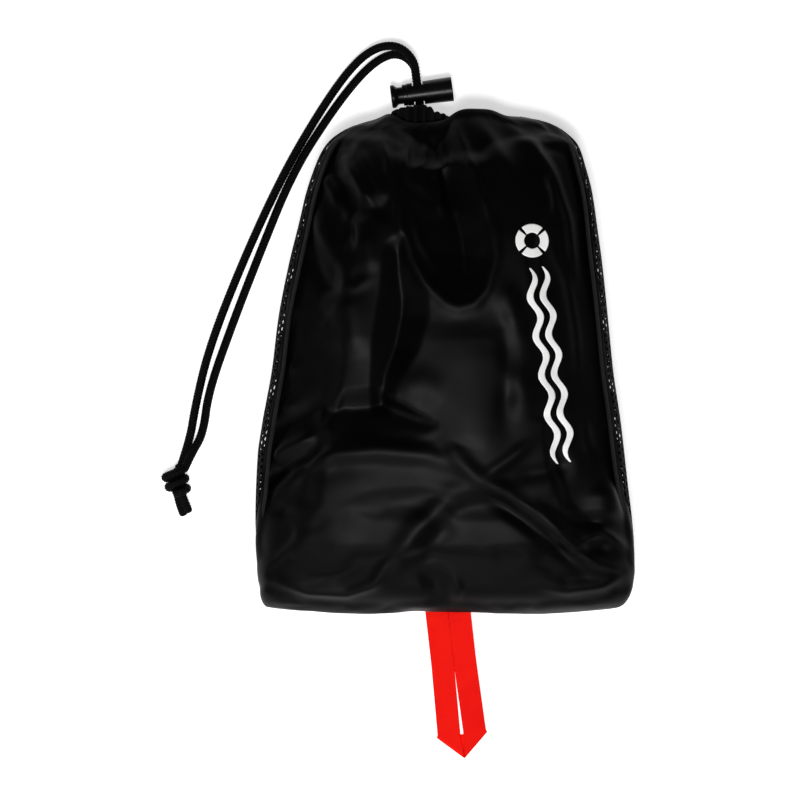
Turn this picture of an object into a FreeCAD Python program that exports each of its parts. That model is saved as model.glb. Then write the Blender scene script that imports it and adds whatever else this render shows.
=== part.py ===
import FreeCAD, Part
import Sketcher
import PartDesign
import math
import os

# Throw rope bag, lying on its back. Millimetres, +Z up.
# The origin is the middle of the flat underside, +X runs across the bag and
# +Y runs from the closed base towards the drawstring mouth.

Vector = FreeCAD.Vector
Rotation = FreeCAD.Rotation
Placement = FreeCAD.Placement
UP = Vector(0, 0, 1)

doc = FreeCAD.newDocument("throw_rope_bag")
sheet = doc.addObject("Spreadsheet::Sheet", "Sizes")

# ---------------------------------------------------------------- driving sizes
SIZES = {
    # stuffed body of the bag
    "BagLength": 226.0,
    "BaseWidth": 170.0,
    "ShoulderWidth": 124.0,
    "BagThickness": 52.0,
    "FabricWall": 1.2,
    "SeamSide": 33.0,
    "SeamBase": 5.0,
    "SeamMouth": 12.0,
    # binding tape sewn over the seams inside
    "TapeWall": 0.8,
    "TapeBand": 8.0,
    # gathered hem with the drawcord tunnel
    "CasingCentre": -10.5,
    "CasingHeight": 11.2,
    "CasingHalfWidth": 13.4,
    "CasingHalfHeight": 9.7,
    "CasingDepth": 13.5,
    "CasingProud": 1.0,
    "TackGap": 0.15,
    "ExitStub": 0.4,
    "TackWidth": 1.2,
    "TackHeight": 0.6,
    # drawcord
    "CordDiameter": 3.6,
    "StrandGap": 0.1,
    # cord lock
    "LockHeight": 6.1,
    "LockAngle": 7.5,
    "LockLift": 6.7,
    "LockSideGap": 0.6,
    "LockPassGap": 0.15,
    "BarrelLength": 20.7,
    "BarrelSmallRadius": 5.1,
    "BarrelLargeRadius": 5.6,
    "BarrelNearEnd": 5.1,
    "CollarLength": 2.0,
    "CollarRadius": 4.85,
    "EndWall": 1.4,
    "BoreRadius": 4.45,
    "StemGap": 0.05,
    "HeadRadius": 5.3,
    "HeadLength": 3.2,
    "NeckRadius": 3.9,
    "PressTravel": 2.2,
    "StemReach": 7.2,
    "SeatRadius": 3.3,
    "SeatDepth": 3.0,
    "SpringRadius": 2.7,
    "SpringWire": 0.7,
    "SpringTurns": 6.0,
    # webbing loop at the base
    "WebWidth": 10.4,
    "WebThickness": 1.2,
    "WebLength": 65.0,
    "WebAngle": 6.5,
    "WebSlitWidth": 1.6,
    "WebSlitLength": 33.0,
    "WebRoot": 2.6,
    "HingeClearance": 0.3,
    "AnchorReach": 17.0,
    # rope and its knots
    "RopeDiameter": 7.0,
    "RopeGap": 2.5,
    "HandLoopRadius": 12.0,
    "KnotHalfWidth": 5.9,
    "KnotHalfLength": 7.2,
    "KnotHalfHeight": 4.7,
    "TailLength": 11.5,
}

for row, (alias, value) in enumerate(SIZES.items(), start=1):
    sheet.set("A%d" % row, alias)
    sheet.set("B%d" % row, str(value))
    sheet.setAlias("B%d" % row, alias)
doc.recompute()


def size(alias):
    return float(sheet.get(alias))


def bind(thing, **links):
    """Tie properties of a document object to expressions on the sheet."""
    for name, words in links.items():
        thing.setExpression(name.replace("__", "."), words)


def sheeted(words):
    """Write the sheet's name before each of its aliases in an expression."""
    out = words
    for alias in sorted(SIZES, key=len, reverse=True):
        out = out.replace("$" + alias, "Sizes." + alias)
    return out


# ---------------------------------------------------------------- shared helpers
def origin_plane(body, role):
    for feature in body.Origin.OriginFeatures:
        if feature.Role == role:
            return feature
    raise ValueError(role)


def profile(body, name, role, corners):
    """A closed sketch of straight lines. Each corner is a pair of expressions."""
    sketch = body.newObject("Sketcher::SketchObject", name)
    sketch.AttachmentSupport = [(origin_plane(body, role), "")]
    sketch.MapMode = "FlatFace"
    spots = [
        Vector(sheet_value(across), sheet_value(along), 0) for across, along in corners
    ]
    count = len(spots)
    for i in range(count):
        sketch.addGeometry(Part.LineSegment(spots[i], spots[(i + 1) % count]), False)
    for i in range(count):
        sketch.addConstraint(
            Sketcher.Constraint("Coincident", i, 2, (i + 1) % count, 1)
        )
    for i, (across, along) in enumerate(corners):
        for kind, words, value in (
            ("DistanceX", across, spots[i].x),
            ("DistanceY", along, spots[i].y),
        ):
            number = sketch.addConstraint(
                Sketcher.Constraint(kind, -1, 1, i, 1, value)
            )
            label = "%s%d" % (kind, i)
            sketch.renameConstraint(number, label)
            sketch.setExpression("Constraints." + label, sheeted(words))
    return sketch


def sheet_value(words):
    """The present value of an expression in the sheet's aliases."""
    probe.setExpression("Length", sheeted("(%s) + 1000" % words))
    probe.recompute()
    return float(probe.Length) - 1000


probe = doc.addObject("Part::Box", "ValueProbe")


def pad(body, sketch, length):
    feature = body.newObject("PartDesign::Pad", "Pad")
    feature.Profile = sketch
    feature.setExpression("Length", sheeted(length))
    return feature


def pocket_through(body, sketch):
    feature = body.newObject("PartDesign::Pocket", "Pocket")
    feature.Profile = sketch
    feature.Type = 1
    feature.Midplane = True
    return feature


def turned(body, sketch):
    feature = body.newObject("PartDesign::Revolution", "Revolution")
    feature.Profile = sketch
    feature.ReferenceAxis = (sketch, ["H_Axis"])
    feature.Angle = 360
    return feature


def shaped(name, shape, place=None):
    """A document object whose shape this file works out itself."""
    thing = doc.addObject("Part::Feature", name)
    thing.Label = name
    thing.Shape = shape
    thing.Placement = place or Placement()
    return thing


def slab(low, high):
    """A plain box between two corners."""
    low, high = Vector(*low), Vector(*high)
    step = high - low
    return Part.makeBox(step.x, step.y, step.z, low)


doc.recompute()

# ---------------------------------------------------------------- the stuffed form
# Stations run from the base to the mouth. Each has its place along the bag, its
# middle across, its half width, and its lowest and highest point, as shares of
# the length, the width there and the thickness.
BASE_Y = -0.5 * size("BagLength")
THICK = size("BagThickness")
BASE_HALF = 0.5 * size("BaseWidth")
SHOULDER_HALF = 0.5 * size("ShoulderWidth")
MOUTH_HALF = 2.0 * size("CasingHalfWidth")
WIDEST = 0.42

STATIONS = (
    (0.000, 0.0, 0.84 * BASE_HALF, 0.20, 0.66),
    (0.012, 0.0, 0.92 * BASE_HALF, 0.09, 0.80),
    (0.036, 0.0, 0.97 * BASE_HALF, 0.02, 0.91),
    (0.090, 0.0, 1.00 * BASE_HALF, -0.03, 0.98),
    (0.200, 0.0, 1.00 * BASE_HALF, -0.04, 1.00),
    (0.400, 0.0, 0.4 * SHOULDER_HALF + 0.6 * BASE_HALF, -0.04, 1.00),
    (0.600, 0.0, 0.7 * SHOULDER_HALF + 0.3 * BASE_HALF, -0.04, 0.98),
    (0.760, 0.0, 1.04 * SHOULDER_HALF, -0.04, 0.92),
    (0.870, 0.0, 0.97 * SHOULDER_HALF, -0.03, 0.80),
    (0.930, 0.5, 0.86 * SHOULDER_HALF, -0.01, 0.68),
    (0.972, 1.0, 0.65 * SHOULDER_HALF, 0.00, 0.55),
    (1.000, 2.0, MOUTH_HALF, 0.01, 0.45),
)
SECTION_POINTS = 16
ROUNDNESS = 2.5


def section(station, inset):
    """One closed cross-section of the stuffed form, drawn in by the inset."""
    along, middle, half, low, high = station
    y = BASE_Y + along * size("BagLength")
    y = min(max(y, BASE_Y + inset), -BASE_Y - inset)
    waist = WIDEST * (high - low) + low
    spots = []
    for i in range(SECTION_POINTS):
        turn = 2 * math.pi * i / SECTION_POINTS
        across, rise = math.cos(turn), math.sin(turn)
        reach = math.copysign(abs(across) ** (2 / ROUNDNESS), across)
        lift = math.copysign(abs(rise) ** (2 / ROUNDNESS), rise)
        depth = (high - waist if rise > 0 else waist - low) * THICK - inset
        spots.append(
            Vector(middle + (half - inset) * reach, y, waist * THICK + depth * lift)
        )
    curve = Part.BSplineCurve()
    curve.interpolate(Points=spots, PeriodicFlag=True)
    return Part.Wire(curve.toShape())


def stuffed_form(inset):
    """The closed form of the bag at an inset, with its flat underside."""
    body = Part.makeLoft([section(s, inset) for s in STATIONS], True, False)
    reach = 2 * size("BagLength")
    above = slab((-reach, -reach, inset), (reach, reach, reach))
    return body.common(above)


def seam_height_line(offset):
    """The seam's height along the bag, from under the base to the mouth."""
    base, side, mouth = size("SeamBase"), size("SeamSide"), size("SeamMouth")
    length = size("BagLength")
    marks = (
        (-0.60, base),
        (-0.39, base),
        (-0.31, 0.8 * side),
        (-0.20, side),
        (0.20, side),
        (0.38, 0.7 * side),
        (0.60, mouth),
    )
    return [Vector(0, share * length, z + offset) for share, z in marks]


def between_seams(low, high):
    """A prism across the whole bag between two offsets from the seam line."""
    reach = 2 * size("BaseWidth")
    lower = seam_height_line(low)
    upper = seam_height_line(high)
    ring = lower + upper[::-1] + [lower[0]]
    face = Part.Face(Part.makePolygon(ring))
    prism = face.extrude(Vector(reach, 0, 0))
    prism.translate(Vector(-0.5 * reach, 0, 0))
    return prism


wall = size("FabricWall")
tape = size("TapeWall")
outer_form = stuffed_form(0.0)
inner_form = stuffed_form(wall)
tape_form = stuffed_form(wall + tape)
front_side = between_seams(0.0, 2 * THICK)

# ---------------------------------------------------------------- gathered hem
casing_low = -BASE_Y + size("CasingProud") - size("CasingDepth")


def casing_block(grow):
    """The bunched hem as one oval block, wider by grow all round."""
    oval = Part.Ellipse(
        Vector(0, 0, 0),
        size("CasingHalfWidth") + grow,
        size("CasingHalfHeight") + grow,
    )
    face = Part.Face(Part.Wire(oval.toShape()))
    block = face.extrude(Vector(0, 0, size("CasingDepth") + grow))
    block.Placement = Placement(
        Vector(size("CasingCentre"), -BASE_Y + size("CasingProud"), size("CasingHeight")),
        Rotation(Vector(1, 0, 0), 90),
    )
    return block


# ---------------------------------------------------------------- drawcord
cord_radius = 0.5 * size("CordDiameter")
stack = cord_radius + 0.5 * size("StrandGap")
upper_strand_z = size("LockHeight") + stack
lower_strand_z = size("LockHeight") - stack
casing_top = -BASE_Y + size("CasingProud")
SMALLEST_TURN = 1.0
CORNER_SHARE = 0.45

lock_along = Vector(
    math.cos(math.radians(size("LockAngle"))),
    math.sin(math.radians(size("LockAngle"))),
    0,
)
lock_across = Vector(-lock_along.y, lock_along.x, 0)
casing_exit = Vector(-11.0, casing_top, size("LockHeight")) + lock_across * size("ExitStub")
UPPER = Vector(0, 0, stack)
hem_depth = 8.8
hem_y = (casing_exit - lock_across * hem_depth).y
floor_z = cord_radius + 0.1

OUTER_ROUTE = (
    casing_exit + UPPER,
    casing_exit + UPPER + lock_across * 21.8,
    Vector(-20.7, 142.7, 7.0),
    Vector(-30.6, 142.4, 4.6),
    Vector(-41.4, 134.5, 2.6),
    Vector(-55.4, 115.2, floor_z),
    Vector(-73.4, 84.6, floor_z),
    Vector(-92.0, 44.1, floor_z),
    Vector(-107.1, 5.4, floor_z),
    Vector(-113.4, -21.6, floor_z),
    Vector(-115.6, -36.0, floor_z),
    Vector(-120.2, -49.5, 2.2),
)
INNER_ROUTE = (
    casing_exit - UPPER,
    casing_exit - UPPER + lock_across * 19.6,
    Vector(-18.7, 138.6, 3.4),
    Vector(-25.9, 139.1, 2.4),
    Vector(-36.4, 131.8, floor_z),
    Vector(-50.8, 113.8, floor_z),
    Vector(-69.0, 85.5, floor_z),
    Vector(-85.0, 45.9, floor_z),
    Vector(-96.8, 15.3, floor_z),
    Vector(-107.3, -14.4, floor_z),
    Vector(-109.6, -33.4, 2.4),
    Vector(-115.2, -42.8, 5.2),
    Vector(-118.4, -50.2, 6.0),
)
HEM_ROUTE = (
    casing_exit + UPPER,
    casing_exit + UPPER - lock_across * hem_depth,
    Vector(-19.0, hem_y - 1.2, upper_strand_z + 0.5),
    Vector(-20.4, hem_y, 14.9),
    Vector(-14.6, hem_y, 17.9),
    Vector(-5.6, hem_y, 17.8),
    Vector(-0.4, hem_y, 13.0),
    Vector(-1.4, hem_y, 5.6),
    casing_exit - UPPER - lock_across * hem_depth,
    casing_exit - UPPER,
)


def cord_path(name, route):
    """Straight runs joined by tangent arcs, each arc as large as its runs allow."""
    edges = []
    last = route[0]
    radii = []
    for before, corner, after in zip(route, route[1:], route[2:]):
        back = (before - corner).normalize()
        on = (after - corner).normalize()
        turn = math.pi - back.getAngle(on)
        cut = CORNER_SHARE * min((before - corner).Length, (after - corner).Length)
        radius = cut / math.tan(0.5 * turn)
        radii.append(radius)
        inward = (back + on).normalize()
        centre = math.hypot(radius, cut)
        first, final = corner + back * cut, corner + on * cut
        middle = corner + inward * (centre - radius)
        edges.append(Part.LineSegment(last, first).toShape())
        edges.append(Part.Arc(first, middle, final).toShape())
        last = final
    edges.append(Part.LineSegment(last, route[-1]).toShape())
    print("%s radii %s" % (name, " ".join("%.1f" % r for r in radii)))
    if min(radii) < SMALLEST_TURN * size("CordDiameter"):
        print("%s has a bend under one diameter" % name)
    return Part.Wire(edges)


def cord_tube(name, route, radius):
    """A plain round tube along a route, its volume compared with its length."""
    path = cord_path(name, route)
    ring = Part.Wire(Part.Circle(route[0], route[1] - route[0], radius).toShape())
    tube = path.makePipeShell([ring], True, False)
    due = math.pi * radius**2 * path.Length
    print("%s length %.1f volume share %.4f" % (name, path.Length, tube.Volume / due))
    if abs(tube.Volume / due - 1) > 0.01:
        raise ValueError("%s does not follow its route" % name)
    return tube


def drawcord():
    shaped("drawcord_outer_strand", cord_tube("outer strand", OUTER_ROUTE, cord_radius))
    shaped("drawcord_inner_strand", cord_tube("inner strand", INNER_ROUTE, cord_radius))
    shaped("drawcord_hem_run", cord_tube("hem run", HEM_ROUTE, cord_radius))


def casing():
    """The folded hem, bunched solid by the cord, with the cord's tunnel in it."""
    start, finish = HEM_ROUTE[0] + lock_across, HEM_ROUTE[-1] + lock_across
    through = (start,) + HEM_ROUTE[1:-1] + (finish,)
    tunnel = cord_tube("tunnel", through, cord_radius)
    shaped("drawcord_casing", casing_block(0.0).cut(tunnel))


def casing_tacks():
    """Two short bar tacks that stop the hem tearing beside the cord exit."""
    width, height = size("TackWidth"), size("TackHeight")
    gap = cord_radius + size("TackGap") + 0.5 * width
    tall = 2 * stack + cord_radius
    bars = []
    for side in (-1, 1):
        middle = HEM_ROUTE[0].x + side * (gap + 0.5 * width)
        low = (middle - 0.5 * width, casing_top, size("LockHeight") - 0.5 * tall)
        high = (
            middle + 0.5 * width,
            casing_top + height,
            size("LockHeight") + 0.5 * tall,
        )
        bars.append(slab(low, high))
    shaped("casing_bar_tacks", Part.makeCompound(bars))


def drawcord_knot():
    """The overhand knot that ties both strands, with its two short tails."""
    knot = doc.addObject("Part::Ellipsoid", "knot_body")
    bind(
        knot,
        Radius1="Sizes.KnotHalfHeight",
        Radius2="Sizes.KnotHalfWidth",
        Radius3="Sizes.KnotHalfLength",
    )
    knot.Placement = Placement(Vector(-121.6, -54.9, 4.8), Rotation(UP, 12))
    pieces = [knot]
    for number, (start, lean) in enumerate(
        ((Vector(-122.0, -60.0, 2.1), 14), (Vector(-119.8, -59.4, 5.2), 22))
    ):
        tail = doc.addObject("Part::Cylinder", "knot_tail_%d" % number)
        bind(tail, Radius="Sizes.CordDiameter / 2", Height="Sizes.TailLength")
        away = Vector(math.sin(math.radians(lean)), -math.cos(math.radians(lean)), 0)
        tail.Placement = Placement(start, Rotation(UP, away))
        pieces.append(tail)
    fused = doc.addObject("Part::MultiFuse", "drawcord_knot")
    fused.Label = "drawcord_knot"
    fused.Shapes = pieces


# ---------------------------------------------------------------- shell panels
def panels():
    """The woven front, which wraps the base, and the net back under it."""
    skin = outer_form.cut(inner_form).cut(casing_block(0.0))
    skin = skin.cut(anchor_space())
    shaped("front_panel", skin.common(front_side))
    shaped("mesh_back_panel", skin.cut(front_side))


def seam_tapes():
    """Binding tape inside the seam: one length up each side, one round the base."""
    half = 0.5 * size("TapeBand")
    ring = inner_form.cut(tape_form).common(between_seams(-half, half))
    ring = ring.cut(casing_block(tape)).cut(anchor_space())
    reach = size("BagLength")
    base_end = -0.36 * size("BagLength")
    mouth_end = 0.46 * size("BagLength")
    left = slab((-reach, base_end, 0), (0, mouth_end, reach))
    right = slab((0, base_end, 0), (reach, mouth_end, reach))
    base = slab((-reach, -reach, 0), (reach, base_end, reach))
    shaped("side_seam_tape_left", ring.common(left))
    shaped("side_seam_tape_right", ring.common(right))
    shaped("base_seam_tape", ring.common(base))


# ---------------------------------------------------------------- webbing
# The webbing leaves the base seam at a slight angle. Its own frame has the fold
# line at its origin, +Y into the bag and +X along the fold.
web_thick = size("WebThickness")
web_fold = Vector(1.7, BASE_Y - size("WebRoot"), size("SeamBase"))
web_place = Placement(web_fold, Rotation(UP, size("WebAngle")))
web_droop = math.degrees(
    math.asin((web_fold.z - 0.5 * web_thick - 0.1) / size("WebLength"))
)
anchor_near = 0.5 * web_thick + size("HingeClearance")
anchor_far = size("WebRoot") + size("AnchorReach")


def in_webbing_frame(shape):
    shape.Placement = web_place * shape.Placement
    return shape


def anchor_space():
    """The room that the sewn-in end takes where it passes through the seam."""
    return in_webbing_frame(
        slab(
            (-size("WebWidth"), anchor_near, -0.5 * web_thick),
            (size("WebWidth"), anchor_far, 0.5 * web_thick),
        )
    )


def webbing_anchor():
    """The end of the red webbing that is sewn into the base seam."""
    tab = doc.addObject("Part::Box", "webbing_anchor_tab")
    tab.Label = "webbing_anchor_tab"
    near = "$WebThickness / 2 + $HingeClearance"
    bind(
        tab,
        Length=sheeted("2 * $WebWidth"),
        Width=sheeted("$WebRoot + $AnchorReach - (%s)" % near),
        Height=sheeted("$WebThickness"),
    )
    corner = Vector(-size("WebWidth"), anchor_near, -0.5 * web_thick)
    tab.Placement = web_place * Placement(corner, Rotation())


def webbing_tacks():
    """Two dense bar tacks across the webbing, inside the base seam."""
    width, height = size("TackWidth"), size("TackHeight")
    half = size("WebWidth") - 1.5
    bars = []
    for steps in (2.5, 6.0):
        near = anchor_far - steps * width
        low = (-half, near, 0.5 * web_thick)
        high = (half, near + width, 0.5 * web_thick + height)
        bars.append(in_webbing_frame(slab(low, high)))
    shaped("webbing_bar_tacks", Part.makeCompound(bars))


def pull_loop():
    """Flat webbing folded back on itself with a mitred, pointed turn."""
    body = doc.addObject("PartDesign::Body", "pull_loop")
    body.Label = "pull_loop"
    outer = "$WebWidth + $WebSlitWidth / 2"
    turn_at = "$WebWidth - $WebLength"
    outline = profile(
        body,
        "webbing_outline",
        "XY_Plane",
        (
            ("-$WebWidth", "0"),
            ("-(%s)" % outer, turn_at),
            ("0", "-$WebLength"),
            (outer, turn_at),
            ("$WebWidth", "0"),
        ),
    )
    pad(body, outline, "$WebThickness")
    slit = profile(
        body,
        "slit_between_legs",
        "XY_Plane",
        (
            ("0", turn_at + " + $WebSlitLength"),
            ("-$WebSlitWidth / 2", turn_at),
            ("$WebSlitWidth / 2", turn_at),
        ),
    )
    pocket_through(body, slit)
    fold = profile(
        body,
        "folded_point",
        "XY_Plane",
        (
            ("-(%s)" % outer, turn_at),
            ("0", "-$WebLength"),
            (outer, turn_at),
        ),
    )
    pad(body, fold, "2 * $WebThickness")
    droop = Placement(Vector(), Rotation(Vector(1, 0, 0), web_droop))
    centred = Placement(Vector(0, 0, -0.5 * web_thick), Rotation())
    body.Placement = web_place * droop * centred


# ---------------------------------------------------------------- cord lock
lock_place = Placement(
    casing_exit + lock_across * size("LockLift"), Rotation(UP, size("LockAngle"))
)
PASS_HALF_WIDTH = "$CordDiameter / 2 + $LockSideGap"
PASS_HALF_HEIGHT = "$CordDiameter + $StrandGap / 2 + $LockPassGap"
MOUTH_AT = "-$BarrelNearEnd - $CollarLength"
STEM_RADIUS = "$BoreRadius - $StemGap"


def cord_pass(body, name, near, far):
    """The slot through the lock for the two stacked strands."""
    slot = profile(
        body,
        name,
        "XZ_Plane",
        (
            (near, "-(%s)" % PASS_HALF_HEIGHT),
            (far, "-(%s)" % PASS_HALF_HEIGHT),
            (far, PASS_HALF_HEIGHT),
            (near, PASS_HALF_HEIGHT),
        ),
    )
    return pocket_through(body, slot)


def lock_barrel():
    body = doc.addObject("PartDesign::Body", "cord_lock_barrel")
    body.Label = "cord_lock_barrel"
    far = "$BarrelLength - $BarrelNearEnd"
    turn = profile(
        body,
        "barrel_half_section",
        "XY_Plane",
        (
            (MOUTH_AT, "$BoreRadius"),
            (MOUTH_AT, "$CollarRadius"),
            ("-$BarrelNearEnd", "$CollarRadius"),
            ("-$BarrelNearEnd", "$BarrelSmallRadius"),
            (far, "$BarrelLargeRadius"),
            (far, "0"),
            (far + " - $EndWall", "0"),
            (far + " - $EndWall", "$BoreRadius"),
        ),
    )
    turned(body, turn)
    cord_pass(body, "barrel_pass", "-(%s)" % PASS_HALF_WIDTH, PASS_HALF_WIDTH)
    body.Placement = lock_place


def lock_plunger():
    body = doc.addObject("PartDesign::Body", "cord_lock_plunger")
    body.Label = "cord_lock_plunger"
    head_in = MOUTH_AT + " - $PressTravel"
    turn = profile(
        body,
        "plunger_half_section",
        "XY_Plane",
        (
            (head_in + " - $HeadLength", "0"),
            (head_in + " - $HeadLength", "$HeadRadius - 0.8"),
            (head_in + " - $HeadLength + 0.7", "$HeadRadius"),
            (head_in + " - 1.2", "$HeadRadius"),
            (head_in, "$NeckRadius"),
            (MOUTH_AT + " + 0.6", "$NeckRadius"),
            (MOUTH_AT + " + 0.6", STEM_RADIUS),
            ("$StemReach", STEM_RADIUS),
            ("$StemReach", "$SeatRadius"),
            ("$StemReach - $SeatDepth", "$SeatRadius"),
            ("$StemReach - $SeatDepth", "0"),
        ),
    )
    turned(body, turn)
    near = "-(%s) - $PressTravel" % PASS_HALF_WIDTH
    cord_pass(body, "plunger_pass", near, PASS_HALF_WIDTH)
    body.Placement = lock_place


def lock_spring():
    """The return spring between the plunger's seat and the barrel's end wall."""
    wire = 0.5 * size("SpringWire")
    start = size("StemReach") - size("SeatDepth") + wire + 0.05
    stop = size("BarrelLength") - size("BarrelNearEnd") - size("EndWall") - wire - 0.05
    pitch = (stop - start) / size("SpringTurns")
    line = Part.makeHelix(pitch, stop - start, size("SpringRadius"))
    ring = Part.Wire(
        Part.Circle(Vector(size("SpringRadius"), 0, 0), Vector(0, 1, 0), wire).toShape()
    )
    coil = Part.Wire(line).makePipeShell([ring], True, True)
    along_bore = Placement(Vector(start, 0, 0), Rotation(Vector(0, 1, 0), 90))
    shaped("cord_lock_spring", coil, lock_place * along_bore)


# ---------------------------------------------------------------- rope inside
def rope():
    """The stuffed rope, the hand loop at its free end and the knot at its fixed end."""
    rope_radius = 0.5 * size("RopeDiameter")
    gap = wall + tape + size("RopeGap")
    loop_at = Vector(size("CasingCentre"), 0.34 * size("BagLength"), 0.36 * THICK)
    reach = size("HandLoopRadius") + rope_radius + 1.0
    loop_base = loop_at - UP * (rope_radius + 1)
    loop_space = Part.makeCylinder(reach, 2 * (rope_radius + 1), loop_base)
    knot_half = 1.3 * size("RopeDiameter")
    knot_rise = 0.5 * web_thick + size("TackHeight") + knot_half
    knot_at = web_place.multVec(Vector(0, anchor_far - 0.5 * knot_half, knot_rise))
    knot_space = slab(
        (knot_at.x - 2 * knot_half, BASE_Y, 0),
        (knot_at.x + 2 * knot_half, knot_at.y + 1.6 * knot_half, knot_at.z + knot_half + 1),
    )
    mouth_space = slab(
        (-size("BaseWidth"), casing_low - 4.0, 0),
        (size("BaseWidth"), size("BagLength"), 2 * THICK),
    )
    bundle = stuffed_form(gap).cut(loop_space).cut(knot_space).cut(mouth_space)
    shaped("throw_rope_bundle", bundle)

    loop = doc.addObject("Part::Torus", "rope_hand_loop")
    loop.Label = "rope_hand_loop"
    bind(loop, Radius1="Sizes.HandLoopRadius", Radius2="Sizes.RopeDiameter / 2")
    loop.Placement = Placement(loop_at, Rotation())

    knot = doc.addObject("Part::Ellipsoid", "rope_anchor_knot")
    knot.Label = "rope_anchor_knot"
    bind(
        knot,
        Radius1="1.3 * Sizes.RopeDiameter",
        Radius2="1.6 * Sizes.RopeDiameter",
        Radius3="1.2 * Sizes.RopeDiameter",
    )
    knot.Placement = Placement(knot_at, Rotation())


# ---------------------------------------------------------------- build and write
NODES = (
    "front_panel",
    "mesh_back_panel",
    "side_seam_tape_left",
    "side_seam_tape_right",
    "base_seam_tape",
    "drawcord_casing",
    "casing_bar_tacks",
    "drawcord_hem_run",
    "drawcord_outer_strand",
    "drawcord_inner_strand",
    "drawcord_knot",
    "cord_lock_barrel",
    "cord_lock_plunger",
    "cord_lock_spring",
    "webbing_anchor_tab",
    "webbing_bar_tacks",
    "pull_loop",
    "throw_rope_bundle",
    "rope_hand_loop",
    "rope_anchor_knot",
)

panels()
seam_tapes()
casing()
casing_tacks()
drawcord()
drawcord_knot()
lock_barrel()
lock_plunger()
lock_spring()
webbing_anchor()
webbing_tacks()
pull_loop()
rope()
doc.removeObject(probe.Name)
doc.recompute()

for thing in doc.Objects:
    if "Invalid" in thing.State or "Error" in thing.State:
        raise RuntimeError("%s failed: %s" % (thing.Label, thing.State))

os.makedirs("parts", exist_ok=True)
by_label = {thing.Label: thing for thing in doc.Objects}
for node in NODES:
    shape = by_label[node].Shape
    if shape.isNull() or not shape.isValid() or shape.Volume <= 0:
        raise RuntimeError("%s has no sound shape" % node)
    box = shape.optimalBoundingBox(False)
    print(
        "%-24s %d solid(s) %9.1f mm3  x %.1f..%.1f  y %.1f..%.1f  z %.2f..%.2f"
        % (
            node, len(shape.Solids), shape.Volume,
            box.XMin, box.XMax, box.YMin, box.YMax, box.ZMin, box.ZMax,
        )
    )
    shape.exportStep("parts/%s.step" % node)
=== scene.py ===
# %% [markdown]
# # A throw rope bag, lying on its back
# A throw bag is a small drawstring sack stuffed with floating rope. The front is
# black coated nylon, the back is an open net that lets water drain, a braided
# drawcord with a sprung lock shuts the mouth, and a folded red webbing loop hangs
# from the base. The CAD model fixes every size and every moving part. This
# notebook dresses it, piece by piece, in the same frame and in metres.

# %% Load the frame
import math

import bmesh
import bpy
import numpy as np
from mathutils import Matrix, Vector
from mathutils.bvhtree import BVHTree


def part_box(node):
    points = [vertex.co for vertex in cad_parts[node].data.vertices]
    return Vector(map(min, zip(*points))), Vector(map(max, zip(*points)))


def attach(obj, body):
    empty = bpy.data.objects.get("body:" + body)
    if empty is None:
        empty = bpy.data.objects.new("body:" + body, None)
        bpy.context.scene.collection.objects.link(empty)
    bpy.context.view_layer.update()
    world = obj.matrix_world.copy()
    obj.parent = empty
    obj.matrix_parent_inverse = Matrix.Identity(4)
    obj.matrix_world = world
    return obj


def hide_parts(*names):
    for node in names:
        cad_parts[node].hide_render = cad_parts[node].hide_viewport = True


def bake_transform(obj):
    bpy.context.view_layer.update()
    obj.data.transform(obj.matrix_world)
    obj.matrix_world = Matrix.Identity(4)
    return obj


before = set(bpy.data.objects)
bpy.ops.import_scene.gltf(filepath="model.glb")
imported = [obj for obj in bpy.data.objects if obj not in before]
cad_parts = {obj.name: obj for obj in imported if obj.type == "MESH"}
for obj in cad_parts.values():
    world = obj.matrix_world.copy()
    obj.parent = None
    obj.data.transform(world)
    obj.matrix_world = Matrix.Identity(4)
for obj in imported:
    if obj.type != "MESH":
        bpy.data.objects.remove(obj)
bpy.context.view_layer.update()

MM = 0.001

# %% [markdown]
# ## Floor, light and camera
# A black object on white is read by its highlights. A high key light and a wide
# low light from the base end graze the folds, weak lights at the sides lift the
# seams, and a thin strip past the mouth edges the lock. The floor gives off a
# little light, to be near white. The camera looks straight down.

# %% Camera
CAMERA_HEIGHT = 2.4
CAMERA_OVER = (-0.02025, -0.018)
PICTURE_WIDTH = 0.360
PICTURE_PLANE = 0.024
SENSOR_WIDTH = 36.0

camera_data = bpy.data.cameras.new("camera")
camera_data.sensor_width = SENSOR_WIDTH
camera_data.lens = SENSOR_WIDTH * (CAMERA_HEIGHT - PICTURE_PLANE) / PICTURE_WIDTH
camera = bpy.data.objects.new("camera", camera_data)
camera.location = (*CAMERA_OVER, CAMERA_HEIGHT)
bpy.context.scene.collection.objects.link(camera)
bpy.context.scene.camera = camera
bpy.context.scene.view_settings.view_transform = "Standard"
print("lens", round(camera_data.lens, 1), "mm")


# %% Lights
def area_light(name, aim, azimuth, elevation, distance, wide, tall, watts):
    """A rectangular light that looks at a point; azimuth 0 is on the base side."""
    data = bpy.data.lights.new(name, "AREA")
    data.shape = "RECTANGLE"
    data.size, data.size_y, data.energy = wide, tall, watts
    light = bpy.data.objects.new(name, data)
    a, e = math.radians(azimuth), math.radians(elevation)
    away = Vector((math.sin(a) * math.cos(e), -math.cos(a) * math.cos(e), math.sin(e)))
    light.location = Vector(aim) + away * distance
    light.rotation_mode = "QUATERNION"
    light.rotation_quaternion = away.to_track_quat("Z", "Y")
    bpy.context.scene.collection.objects.link(light)


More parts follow.
